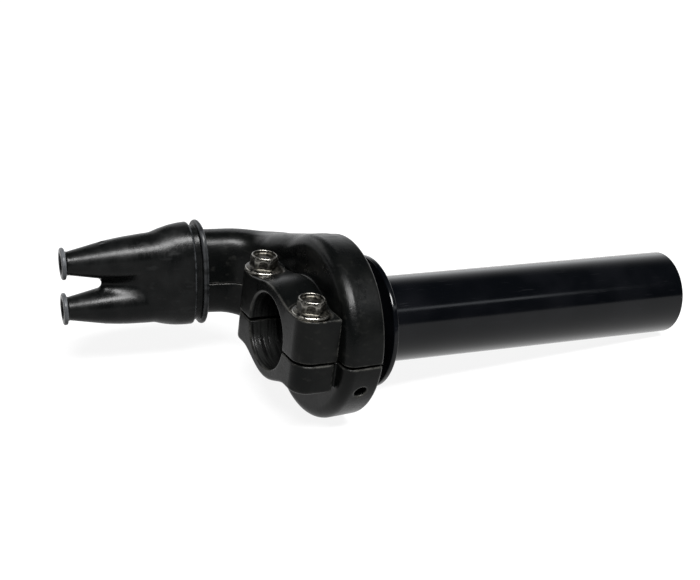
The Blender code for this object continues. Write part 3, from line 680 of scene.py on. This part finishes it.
def worn_zinc():
    """Dark zinc plate on forged steel, mottled on the flats and rubbed bright on the edges."""
    paint = Paint("worn_zinc", metallic=1.0)
    mottle = paint.noise(0.8, 5.0)
    cloud = paint.noise(2.4, 3.0)
    fine = paint.noise(0.25, 2.0)
    tone = paint.mix(paint.fit(mottle, 0.38, 0.66), ZINC_DARK, ZINC_LIGHT)
    tone = paint.mix(paint.fit(cloud, 0.5, 0.7, 0.0, 0.6), tone, ZINC_STAIN)
    edge = paint.fit(paint.attribute("edge"), 0.6, 2.2)
    tone = paint.mix(paint.math("MULTIPLY", edge, 0.65), tone, ZINC_EDGE)
    paint.colour(tone)
    rough = paint.fit(mottle, 0.3, 0.7, 0.30, 0.5)
    paint.rough(paint.math("SUBTRACT", rough, paint.math("MULTIPLY", edge, 0.1)))
    paint.bump((mottle, 0.03), (fine, 0.01))
    return paint.material


def gloss_anodising():
    """Gloss black anodised aluminium with faint turning marks and hairline scratches."""
    paint = Paint("gloss_anodising", specular=0.14)
    turning = paint.noise(0.12, 2.0, (1.0, 0.04, 0.04))
    hairs = paint.noise(0.5, 4.0, (0.06, 1.0, 1.0))
    cloud = paint.noise(14.0, 2.0)
    tone = paint.mix(paint.fit(cloud, 0.35, 0.7), ANODISING_DARK, ANODISING_LIGHT)
    paint.colour(paint.mix(paint.fit(hairs, 0.66, 0.72, 0.0, 0.12), tone, ANODISING_HAIR))
    rough = paint.fit(cloud, 0.3, 0.7, 0.12, 0.15)
    paint.rough(paint.math("ADD", rough, paint.fit(hairs, 0.6, 0.75, 0.0, 0.06)))
    paint.bump((turning, 0.0012), (hairs, 0.0005))
    return paint.material


def ground_steel():
    """Ground steel: fine scratches one way, light and dark from the rolling."""
    paint = Paint("ground_steel", metallic=1.0)
    lines = paint.noise(0.1, 3.0, (1.0, 0.05, 1.0))
    cloud = paint.noise(2.5, 3.0)
    paint.colour(paint.mix(paint.fit(cloud, 0.35, 0.7), STEEL_DARK, STEEL_LIGHT))
    paint.rough(paint.fit(lines, 0.3, 0.7, 0.22, 0.38))
    paint.bump((lines, 0.003))
    return paint.material


def moulded_plastic(name, dark, light, roughness):
    """Moulded plastic: faint flow clouds and a fine spark-eroded skin."""
    paint = Paint(name, specular=0.5)
    flow = paint.noise(5.0, 4.0, (1.0, 0.6, 1.0))
    skin = paint.noise(0.2, 2.0)
    paint.colour(paint.mix(paint.fit(flow, 0.35, 0.7), dark, light))
    paint.rough(paint.fit(flow, 0.3, 0.7, roughness - 0.06, roughness + 0.06))
    paint.bump((skin, 0.006), (flow, 0.03))
    return paint.material


# ---------------------------------------------------------------- housing


def leg_place(x, y):
    """(across, along) of the elbow's leg, along measured from the end of the bend."""
    from_x = x - BEND_X - ACROSS_LEG[0] * BEND_END_RADIUS
    from_y = y - BEND_Y - ACROSS_LEG[1] * BEND_END_RADIUS
    across = from_x * ACROSS_LEG[0] + from_y * ACROSS_LEG[1]
    along = from_x * ALONG_LEG[0] + from_y * ALONG_LEG[1]
    return across, along


def tangent_height(y):
    """Height of the elbow's roof before it levels out: it leaves the case on a tangent."""
    radius = CASE_RADIUS - ELBOW_INSET
    on_case = np.sqrt(np.maximum(radius**2 - y**2, 0.0))
    beyond = (radius - ROOF_SLOPE * y) / math.sqrt(1 - ROOF_SLOPE**2)
    return np.where(y < ROOF_SLOPE * radius, on_case, beyond)


def soft_max(first, second, softness):
    return (first + second + np.hypot(first - second, softness)) / 2


def elbow(space, inset=0.0):
    """The elbow's skin, or its cable channel: from the case, round the bend and out along the leg."""
    x, y, z = space.x, space.y, space.z
    run_start = 3.0
    flare_start = 12.0
    roof_softness = 0.6
    floor_run = 26.0
    floor_slope = -0.3
    turn = math.pi / 2 - LEG_LEAN
    angle = np.arctan2(y - BEND_Y, x - BEND_X)
    in_run = y < BEND_Y
    in_leg = ~in_run & (angle > turn)
    leg_across, leg_along = leg_place(x, y)

    t = smoothstep((y - flare_start) / (BEND_Y - flare_start))
    run_half = blend(CASE_HALF_WIDTH - ELBOW_INSET, LEG_HALF_WIDTH, t)
    run_u = x - (CASE_END - ELBOW_INSET - run_half)
    run_height = tangent_height(y)
    run_square = blend(CASE_SQUARENESS, BEND_SQUARENESS, t)

    share = np.clip(angle / turn, 0.0, 1.0)
    start_radius = CASE_END - ELBOW_INSET - LEG_HALF_WIDTH - BEND_X
    radius = blend(start_radius, BEND_END_RADIUS, share)
    bend_u = np.hypot(x - BEND_X, y - BEND_Y) - radius
    bend_height = tangent_height(BEND_Y + radius * np.sin(share * turn))
    roof = soft_max(MOUTH_HALF_HEIGHT, bend_height, roof_softness)
    path = np.where(in_leg, turn * BEND_END_RADIUS + leg_along, share * turn * BEND_END_RADIUS)
    s = np.clip(path / floor_run, 0.0, 1.0)
    floor = tangent_height(np.float32(BEND_Y)) * (2 * s**3 - 3 * s**2 + 1)
    floor = floor + floor_slope * floor_run * (s**3 - 2 * s**2 + s)
    floor = floor + MOUTH_HALF_HEIGHT * (3 * s**2 - 2 * s**3)

    u = np.where(in_run, run_u, np.where(in_leg, leg_across, bend_u))
    half = np.where(in_run, run_half, blend(LEG_HALF_WIDTH, MOUTH_HALF_WIDTH, share))
    rise = np.where(in_run, run_height, roof)
    fall = np.where(in_run, run_height, floor)
    square = np.where(in_run, run_square, blend(BEND_SQUARENESS, MOUTH_SQUARENESS, share))
    form = superellipse(u, z, half - inset, rise - inset, fall - inset, square)
    return keep(form, run_start - y), leg_along


def clamp(space):
    """Clamp ring and bolt bosses, with a narrow groove between them and the drum case."""
    x, y, z = space.x, space.y, space.z
    split_blur = 0.1
    bottom_edge = 1.1
    top_edge = 0.5
    edge_change_z = 4.0
    edge_change = 7.0
    saddle_half = 12.0
    saddle_fade = 4.0
    lower_end_edge = 0.8
    upper_end_edge = 0.4
    saddle_end_edge = 2.3
    core_start = 2.0
    core_overlap = 1.5
    from_bar = np.hypot(y, z)
    ring = from_bar - blend(RING_FRONT_RADIUS, RING_BACK_RADIUS, x / CASE_START)
    ring = ring * CLAMP_CONE_STEEPNESS
    bosses = between(z, BOSS_BOTTOM, BOSS_CAST_TOP)
    section = join(ring, bosses, BOSS_FILLET)
    column = keep(np.abs(y) - BOSS_OUTER, -x, BOSS_CORNER)
    edge = blend(bottom_edge, top_edge, smoothstep((z - edge_change_z) / edge_change))
    form = keep(section, column, edge)
    upper = smoothstep((z - SPLIT_Z) / split_blur + 0.5)
    end = blend(CLAMP_END_LOWER, CLAMP_END_UPPER, upper)
    on_saddle = upper * smoothstep((saddle_half - np.abs(y)) / saddle_fade)
    end_edge = blend(blend(lower_end_edge, upper_end_edge, upper), saddle_end_edge, on_saddle)
    clamped = keep(form, x - end, end_edge)
    core = keep(form + GROOVE_DEPTH, between(x, core_start, CASE_START + core_overlap))
    return join(clamped, core, fillet=0.3)


def drum_case(space):
    """Round case with a broad inboard shoulder and a tight outboard lip."""
    x = space.x
    from_bar = np.hypot(space.y, space.z)
    slope = (CASE_RADIUS - CASE_RIM_RADIUS) / (CASE_END - CASE_START - CASE_SHOULDER)
    skin = from_bar - (CASE_RADIUS - slope * (x - CASE_START - CASE_SHOULDER))
    skin = np.maximum(skin, from_bar - CASE_RADIUS)
    form = keep(skin, CASE_START - x, CASE_SHOULDER)
    return keep(form, x - CASE_END, CASE_LIP)


def hollows(space):
    """Every hollow that both halves share."""
    x, y, z = space.x, space.y, space.z
    from_bar = np.hypot(y, z)
    chamfer = 0.45
    tube_gap = 0.45
    seal_gap = 0.3
    bolt_gap = 0.3
    bore = keep(from_bar - BAR_RADIUS - np.maximum(chamfer - x, 0), x - CAVITY_START - 1)
    found = join(bore, keep(from_bar - (CASE_RADIUS - CASE_WALL), between(x, CAVITY_START, CAVITY_END)))
    found = join(found, keep(from_bar - (TUBE_RADIUS + tube_gap), CAVITY_END - 1 - x))
    found = join(found, keep(from_bar - (SEAL_OUTER + seal_gap), SEAL_SEAT_X - x))
    channel = elbow(space, ELBOW_WALL)[0]
    found = join(found, channel, fillet=0.6)
    from_roller = np.hypot(x - ROLLER.x, y - ROLLER.y)
    found = join(found, keep(from_roller - ROLLER_POCKET_RADIUS, np.abs(z) - ROLLER_POCKET_HALF_HEIGHT))
    found = join(found, keep(from_roller - PIN_HOLE_RADIUS, np.abs(z) - PIN_HOLE_HALF_LENGTH))
    found = join(found, np.hypot(x - BOLT.x, np.abs(y) - BOLT.y) - (BOLT_RADIUS + bolt_gap))
    from_dowel = np.hypot(x - DOWEL.x, np.abs(y) - DOWEL.y)
    return join(found, keep(from_dowel - DOWEL_RADIUS, np.abs(z - SPLIT_Z) - DOWEL_REACH))


def drain(space):
    """Countersunk drain hole, low on the case's rear side."""
    outward = -space.y * math.cos(DRAIN_ANGLE) - space.z * math.sin(DRAIN_ANGLE)
    sideways = space.y * math.sin(DRAIN_ANGLE) - space.z * math.cos(DRAIN_ANGLE)
    flare = np.maximum(outward - (CASE_RADIUS - DRAIN_FLARE), 0)
    hole = np.hypot(space.x - DRAIN_X, sideways) - DRAIN_RADIUS - flare
    return keep(hole, CASE_RADIUS - CASE_WALL - 2 - outward)


def housings(material):
    """The two halves of the casting, cut from one form."""
    margin = 1.2
    rear_margin = 5.5
    mouth_x = -10.5
    mouth_y = 54.5
    softening = 1.2
    lip_margin = 2.0
    soft_start = 5.0
    soft_start_fade = 7.0
    soft_end = 6.0
    tight_start = 20.0
    tight_fade = 10.0
    low = (mouth_x, -BOSS_OUTER - rear_margin, -CASE_RADIUS - margin)
    high = (CASE_END + margin, mouth_y, CASE_RADIUS + margin)
    space = Space(low, high, HOUSING_STEP)
    y = space.y
    arm, leg_along = elbow(space)
    lip = keep(arm - LIP_RISE, between(leg_along, LEG_LENGTH - LIP_LENGTH, LEG_LENGTH), edge=0.3)
    arm = join(keep(arm, leg_along - LEG_LENGTH, edge=0.3), lip)
    form = join(drum_case(space), arm, fillet=0.3)
    from_lip = smoothstep((CASE_END - lip_margin - space.x) / lip_margin)
    after_case = smoothstep((y - soft_start) / soft_start_fade)
    before_leg = smoothstep((BEND_Y + soft_end - y) / soft_end)
    on_elbow = after_case * before_leg * from_lip
    form = blend(form, softened(form, round(softening / HOUSING_STEP)), on_elbow)
    form = join(form, clamp(space), fillet=0.5)
    from_bolt = np.hypot(space.x - BOLT.x, np.abs(y) - BOLT.y)
    form = cut(form, keep(from_bolt - SPOTFACE_RADIUS, SPOTFACE_Z - space.z), edge=0.12)
    form = cut(form, hollows(space), edge=0.15)
    forward = smoothstep((y - tight_start) / tight_fade)
    gap = blend(SPLIT_GAP, ELBOW_SPLIT_GAP, forward)
    edge = blend(0.25, 0.1, forward)
    upper = keep(form, SPLIT_Z + gap / 2 - space.z, edge)
    lower = cut(keep(form, space.z - SPLIT_Z + gap / 2, edge), drain(space), edge=0.2)
    for name, field in (("upper_housing", upper), ("lower_housing", lower)):
        obj = field_object(f"{name}_casting", space, field, material)
        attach(obj, "housing")
        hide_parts(name)


# ---------------------------------------------------------------- boot


def boot_place(space):
    """(distance along, across, up) of each point in the boot, which leans forward and sags."""
    start_x = BEND_X + ACROSS_LEG[0] * BEND_END_RADIUS + ALONG_LEG[0] * (LEG_LENGTH - BOOT_OVERLAP)
    start_y = BEND_Y + ACROSS_LEG[1] * BEND_END_RADIUS + ALONG_LEG[1] * (LEG_LENGTH - BOOT_OVERLAP)
    x = space.x - start_x
    y = space.y - start_y
    z = space.z
    distance = x * ALONG_LEG[0] + y * ALONG_LEG[1] + 0 * z
    passes = 4
    for _ in range(passes):
        lean = BOOT_LEAN * distance / BOOT_LENGTH
        angle = LEG_LEAN + lean
        side = distance * lean / 2
        from_x = x - ALONG_LEG[0] * distance - ACROSS_LEG[0] * side
        from_y = y - ALONG_LEG[1] * distance - ACROSS_LEG[1] * side
        from_z = z + distance * math.tan(BOOT_SAG)
        ahead = from_y * np.sin(angle) - from_x * np.cos(angle)
        step = ahead * math.cos(BOOT_SAG) - from_z * math.sin(BOOT_SAG)
        distance = distance + step * math.cos(BOOT_SAG)
    across = from_x * np.sin(angle) + from_y * np.cos(angle)
    up = from_z * math.cos(BOOT_SAG) + ahead * math.sin(BOOT_SAG)
    return distance.astype(np.float32), across.astype(np.float32), up.astype(np.float32)


def boot_skin(distance, across, up):
    """Outside of the boot: a bead and sleeve over the elbow, then two lobes that part into outlets."""
    neck_start = 0.6
    body_start = 10.0
    square = blend(BOOT_WIDE_SQUARENESS, BOOT_SQUARENESS, smoothstep((distance - 5.0) / 8.0))
    bead_size = (BEAD_HALF_WIDTH, BEAD_HALF_HEIGHT, BEAD_HALF_HEIGHT)
    bead = superellipse(across, up, *bead_size, BOOT_WIDE_SQUARENESS)
    bead = keep(bead, between(distance, 0.0, BEAD_WIDTH), edge=0.8)
    half = along_curve(distance, SLEEVE_WIDTHS)
    height = along_curve(distance, SLEEVE_HEIGHTS)
    sleeve = superellipse(across, up, half, height, height, square)
    neck = keep(sleeve + GROOVE_SINK, between(distance, neck_start, SLEEVE_END))
    sleeve = keep(sleeve, between(distance, BEAD_WIDTH + BEAD_GROOVE, SLEEVE_END), edge=0.7)

    from_outlet = np.hypot(across, np.abs(up) - OUTLET_SPACING)
    web_size = (along_curve(distance, WEB_WIDTHS), WEB_HALF_HEIGHT, WEB_HALF_HEIGHT)
    web = superellipse(across, up, *web_size, 2.5)
    web = keep(web, distance - CROTCH, edge=1.0)
    body = join(from_outlet - along_curve(distance, LOBE_RADII), web, fillet=1.9)
    body = keep(body, between(distance, body_start, BOOT_LENGTH), edge=0.35)
    lips = between(distance, BOOT_LENGTH - OUTLET_LIP_LENGTH, BOOT_LENGTH)
    lips = keep(from_outlet - OUTLET_LIP_RADIUS, lips, edge=0.6)
    body = join(body, lips, fillet=0.8)
    return join(join(join(bead, neck), sleeve), body, fillet=1.3)


def boot_hollow(space, distance, across, up):
    """Inside of the boot: the elbow's mouth and lip, the space behind them, and a bore to each outlet."""
    bore = np.hypot(across, np.abs(up) - OUTLET_SPACING) - along_curve(distance, BORE_RADII)
    half = along_curve(distance, INNER_WIDTHS)
    height = along_curve(distance, INNER_HEIGHTS)
    inner = superellipse(across, up, half, height, height, BOOT_SQUARENESS)
    inner = keep(inner, between(distance, BOOT_OVERLAP - LIP_LENGTH, INNER_END))
    leg_across, leg_along = leg_place(space.x, space.y)
    mouth = (MOUTH_HALF_WIDTH, MOUTH_HALF_HEIGHT, MOUTH_HALF_HEIGHT)
    leg = superellipse(leg_across, space.z, *mouth, MOUTH_SQUARENESS)
    grip = keep(leg - BOOT_FIT, leg_along - LEG_LENGTH - BOOT_FIT)
    lip_groove = between(leg_along, LEG_LENGTH - LIP_LENGTH - BOOT_FIT, LEG_LENGTH + BOOT_FIT)
    lip_groove = keep(leg - LIP_RISE - BOOT_FIT, lip_groove)
    return join(join(keep(bore, BORE_START - distance), inner, fillet=1.0), join(grip, lip_groove))


def boot(material):
    """Rubber boot over the elbow's mouth."""
    space = Space(*BOOT_BOX, BOOT_STEP)
    place = boot_place(space)
    form = cut(boot_skin(*place), boot_hollow(space, *place), edge=0.25)
    obj = field_object("cable_boot_moulding", space, form, material)
    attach(obj, "housing")
    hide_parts("cable_boot")


# ---------------------------------------------------------------- bolts


def bolt_head(x, y, z):
    """Chamfered hexagon with a forged dish, on a sloping flange."""
    radius = np.hypot(x, y)
    flats = x * math.cos(HEX_TURN) + y * math.sin(HEX_TURN) - HEX_FLATS / 2
    for i in range(1, 6):
        angle = HEX_TURN + math.radians(60 * i)
        flats = keep(flats, x * math.cos(angle) + y * math.sin(angle) - HEX_FLATS / 2, HEX_CORNER)
    crown = z - BOLT_TOP + (radius - CHAMFER_START) * math.tan(CHAMFER_ANGLE)
    crown = crown * math.cos(CHAMFER_ANGLE)
    head = keep(keep(flats, crown, edge=0.3), between(z, BOLT_SEAT, BOLT_TOP), edge=0.18)
    flange_top = z - BOLT_SEAT - FLANGE_RIM - (FLANGE_RADIUS - radius) * FLANGE_SLOPE
    flange = keep(radius - FLANGE_RADIUS, flange_top * FLANGE_STEEPNESS, edge=0.3)
    head = join(head, keep(flange, BOLT_SEAT - z, edge=0.12), fillet=0.35)
    dish_floor = BOLT_TOP - DISH_DEPTH + DISH_CROWN * smoothstep(1 - radius / DISH_RADIUS)
    dish = keep(radius - DISH_RADIUS, dish_floor - z, DISH_FILLET)
    return cut(head, dish, edge=0.16)


def bolt_shank(x, y, z):
    """Shank with a rolled thread below its plain neck."""
    turn = np.arctan2(y, x) / (2 * math.pi)
    phase = (z / THREAD_PITCH - turn) % 1.0
    thread = THREAD_DEPTH * np.abs(2 * phase - 1)
    threaded = smoothstep((THREAD_TOP - z) / THREAD_PITCH)
    shank = (np.hypot(x, y) - BOLT_RADIUS + thread * threaded) * THREAD_STEEPNESS
    return keep(shank, between(z, BOLT_TIP, BOLT_SEAT + 1.0), edge=0.5)


def bolts(material):
    """Two flanged M6 bolts."""
    margin = 0.6
    reach = FLANGE_RADIUS + margin
    space = Space((-reach, -reach, BOLT_TIP - margin), (reach, reach, BOLT_TOP + margin), BOLT_STEP)
    place = (space.x, space.y, space.z)
    form = join(bolt_head(*place), bolt_shank(*place))
    for side, word in ((1, "front"), (-1, "rear")):
        obj = field_object(f"clamp_bolt_{word}_forged", space, form, material, MOST_BOLT_TRIANGLES)
        obj.location = (BOLT.x * MM, side * BOLT.y * MM, 0.0)
        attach(obj, "housing")
        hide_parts(f"clamp_bolt_{word}")


# ---------------------------------------------------------------- turned pieces


def rounded(corners, steps=5):
    """Closed outline through (x, radius, round) corners, each rounded by an arc."""
    outline = []
    count = len(corners)
    for i, (x, r, bend) in enumerate(corners):
        here = Vector((x, r))
        if not bend:
            outline.append(here)
            continue
        before = (Vector(corners[i - 1][:2]) - here).normalized()
        after = (Vector(corners[(i + 1) % count][:2]) - here).normalized()
        half = before.angle(after) / 2
        back = bend / math.tan(half)
        centre = here + (before + after).normalized() * bend / math.sin(half)
        start = here + before * back - centre
        end = here + after * back - centre
        sweep = start.angle_signed(end)
        for j in range(steps + 1):
            outline.append(centre + Matrix.Rotation(-sweep * j / steps, 2) @ start)
    return outline


def lathe(name, outline, material, segments=192):
    """A piece turned about the bar's axis from a closed outline of (x, radius) points."""
    count = len(outline)
    places = []
    for i in range(segments):
        angle = 2 * math.pi * i / segments
        places += [(p[0] * MM, p[1] * MM * math.cos(angle), p[1] * MM * math.sin(angle)) for p in outline]
    faces = []
    for i in range(segments):
        j = (i + 1) % segments
        for k in range(count):
            m = (k + 1) % count
            faces.append((i * count + k, j * count + k, j * count + m, i * count + m))
    mesh = bpy.data.meshes.new(name)
    mesh.from_pydata(places, [], faces)
    mesh.update()
    if sum(p.center.x * p.normal.x * p.area for p in mesh.polygons) < 0:
        mesh.flip_normals()
    mesh.materials.append(material)
    obj = new_object(name, mesh)
    mesh.shade_smooth()
    mesh.set_sharp_from_angle(angle=math.radians(30))
    return obj


def tube(material):
    """Throttle tube with its collar, key slots and snap ring groove."""
    collar_end = COLLAR_START + COLLAR_THICKNESS
    groove_start = 16.6
    groove_end = 18.0
    groove_radius = TUBE_RADIUS - 0.5
    keyed_radius = TUBE_RADIUS - 0.3
    slot_reach = 40.0
    corners = [
        (TUBE_END, TUBE_BORE, 0.35),
        (TUBE_END, TUBE_RADIUS, 0.45),
        (collar_end, TUBE_RADIUS, 0.7),
        (collar_end, COLLAR_RADIUS, 0.45),
        (COLLAR_START, COLLAR_RADIUS, 0.45),
        (COLLAR_START, TUBE_RADIUS, 0.5),
        (groove_end, TUBE_RADIUS, 0.08),
        (groove_end, groove_radius, 0.0),
        (groove_start, groove_radius, 0.0),
        (groove_start, keyed_radius, 0.0),
        (TUBE_START, keyed_radius, 0.2),
        (TUBE_START, TUBE_BORE, 0.2),
    ]
    obj = lathe("throttle_tube_turned", rounded(corners), material)
    bpy.ops.mesh.primitive_cube_add(size=1.0)
    slot = bpy.context.object
    slot.scale = (2 * (KEY_SLOT_END - TUBE_START) * MM, slot_reach * MM, 2 * KEY_SLOT_HALF * MM)
    slot.location = (TUBE_START * MM, 0.0, 0.0)
    modifier = obj.modifiers.new("Key slots", "BOOLEAN")
    modifier.operation = "DIFFERENCE"
    modifier.object = slot
    apply_modifiers(obj)
    bpy.data.objects.remove(slot)
    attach(obj, "twist")
    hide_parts("throttle_tube")


def dust_seal(material):
    """Seal round the tube, with two lips that lean on it."""
    gap = 0.3
    lip_depth = 0.9
    waist_depth = 0.6
    inner = TUBE_RADIUS + gap
    low = low_mm("tube_dust_seal").x
    high = high_mm("tube_dust_seal").x
    corners = [
        (high, inner + lip_depth, 0.15),
        (high, SEAL_OUTER, 0.2),
        (low, SEAL_OUTER, 0.1),
        (low, inner + lip_depth, 0.1),
        (low + 0.3, inner, 0.05),
        ((low + high) / 2, inner + waist_depth, 0.1),
        (high - 0.3, inner, 0.05),
    ]
    obj = lathe("tube_dust_seal_lips", rounded(corners, 3), material, 128)
    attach(obj, "housing")
    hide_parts("tube_dust_seal")


# ---------------------------------------------------------------- hidden CAD pieces


def finish_cad_nodes(finishes):
    """Better materials on the CAD nodes that stay."""
    slots = {row["node"]: row["material_slot"] for row in frame["record"]["subparts"]}
    for name, obj in frame["nodes"].items():
        obj.data.materials.clear()
        obj.data.materials.append(finishes[slots[name]])


# ---------------------------------------------------------------- studio


def photo_camera():
    """The camera of the product view: inboard, from the rider's side and above, slightly rolled."""
    camera = new_object("camera", bpy.data.cameras.new("camera"))
    camera.data.sensor_width = SENSOR_WIDTH
    camera.data.lens = LENS
    camera.data.clip_start = 0.01
    right = Vector(CAMERA_RIGHT).normalized()
    back = Vector(CAMERA_BACK).normalized()
    camera.matrix_world = placement(right, back.cross(right), back, CAMERA_PLACE)
    bpy.context.scene.camera = camera
    return right, back


def floor(right):
    """White glowing table under the case and the tube's end, level from the camera's left to its right."""
    sink = 0.1
    drop = (CASE_RIM_RADIUS - TUBE_RADIUS) / (TUBE_END - CASE_END)
    normal = Vector((-drop, (drop * right.x - right.z) / right.y, 1.0)).normalized()
    flat = math.hypot(normal.y, normal.z)
    down = -CASE_RIM_RADIUS / flat
    contact = Vector((CASE_END - 1, down * normal.y, down * normal.z)) * MM
    bpy.ops.mesh.primitive_grid_add(x_subdivisions=8, y_subdivisions=8, size=TABLE_SIZE)
    obj = bpy.context.object
    obj.name = "floor"
    obj.rotation_mode = "QUATERNION"
    obj.rotation_quaternion = normal.to_track_quat("Z", "Y")
    obj.location = contact - normal * sink * MM
    paint = Paint("floor_paper", roughness=0.9, specular=0.1)
    fibres = paint.noise(1.5, 3.0)
    paint.colour(paint.mix(fibres, PAPER_DARK, PAPER_LIGHT))
    paint.shader.inputs["Emission Color"].default_value = (1.0, 1.0, 1.0, 1.0)
    paint.shader.inputs["Emission Strength"].default_value = TABLE_GLOW
    obj.data.materials.append(paint.material)


def softbox(name, direction, long_side, size, brightness, colour=(1.0, 1.0, 1.0)):
    """Softbox a metre away in a direction, facing the object, with its long side about as given."""
    data = bpy.data.lights.new(name, "AREA")
    data.shape = "RECTANGLE"
    data.size, data.size_y = size
    data.energy = brightness * math.pi * size[0] * size[1]
    data.color = colour
    obj = new_object(name, data)
    back = Vector(direction).normalized()
    long_side = Vector(long_side)
    long_side = (long_side - back * long_side.dot(back)).normalized()
    obj.matrix_world = placement(long_side, back.cross(long_side), back, Vector(LIGHT_AIM) + back)


def studio(right, back):
    """White table, white cove low down behind it, dark room elsewhere, and three softboxes."""
    floor(right)
    world = bpy.data.worlds.new("studio")
    bpy.context.scene.world = world
    world.use_nodes = True
    sky = Nodes(world.node_tree)
    direction = sky.node("ShaderNodeTexCoord").outputs["Generated"]
    height = sky.parts(direction)["Z"]
    facing = sky.node("ShaderNodeVectorMath", operation="DOT_PRODUCT")
    sky.feed(facing.inputs[0], direction)
    sky.feed(facing.inputs[1], Vector((-back.x, -back.y, 0.0)).normalized())
    behind = sky.fit(facing.outputs["Value"], *COVE_TURN)
    low = sky.fit(height, *COVE_FADE, 1.0, 0.0)
    beyond_table = sky.fit(height, *HORIZON_FADE, HORIZON_SHARE, 0.0)
    share = sky.math("MAXIMUM", sky.math("MULTIPLY", behind, low), beyond_table)
    background = sky.tree.nodes["Background"]
    sky.feed(background.inputs["Color"], sky.mix(share, ROOM_COLOUR, COVE_COLOUR))
    softbox("key", *KEY)
    softbox("strip", *STRIP, STRIP_COLOUR)
    softbox("rim", *RIM)
    bpy.context.scene.view_settings.view_transform = "Standard"


def main():
    right, back = photo_camera()
    studio(right, back)
    casting = painted_casting()
    steel = ground_steel()
    acetal = moulded_plastic("black_acetal", ACETAL_DARK, ACETAL_LIGHT, 0.42)
    nylon = moulded_plastic("natural_nylon", NYLON_DARK, NYLON_LIGHT, 0.5)
    boot_rubber = moulded_rubber("boot_rubber", BOOT_DARK, BOOT_LIGHT, 0.28)
    seal_rubber = moulded_rubber("seal_rubber", SEAL_DARK, SEAL_LIGHT, 0.6)
    zinc = worn_zinc()
    anodising = gloss_anodising()
    finishes = {
        "cast_housing": casting,
        "bolt_steel": zinc,
        "bright_steel": steel,
        "anodised_tube": anodising,
        "drum_plastic": acetal,
        "nylon": nylon,
        "seal_rubber": seal_rubber,
        "boot_rubber": boot_rubber,
    }
    finish_cad_nodes(finishes)
    housings(casting)
    boot(boot_rubber)
    bolts(zinc)
    tube(anodising)
    dust_seal(seal_rubber)


main()
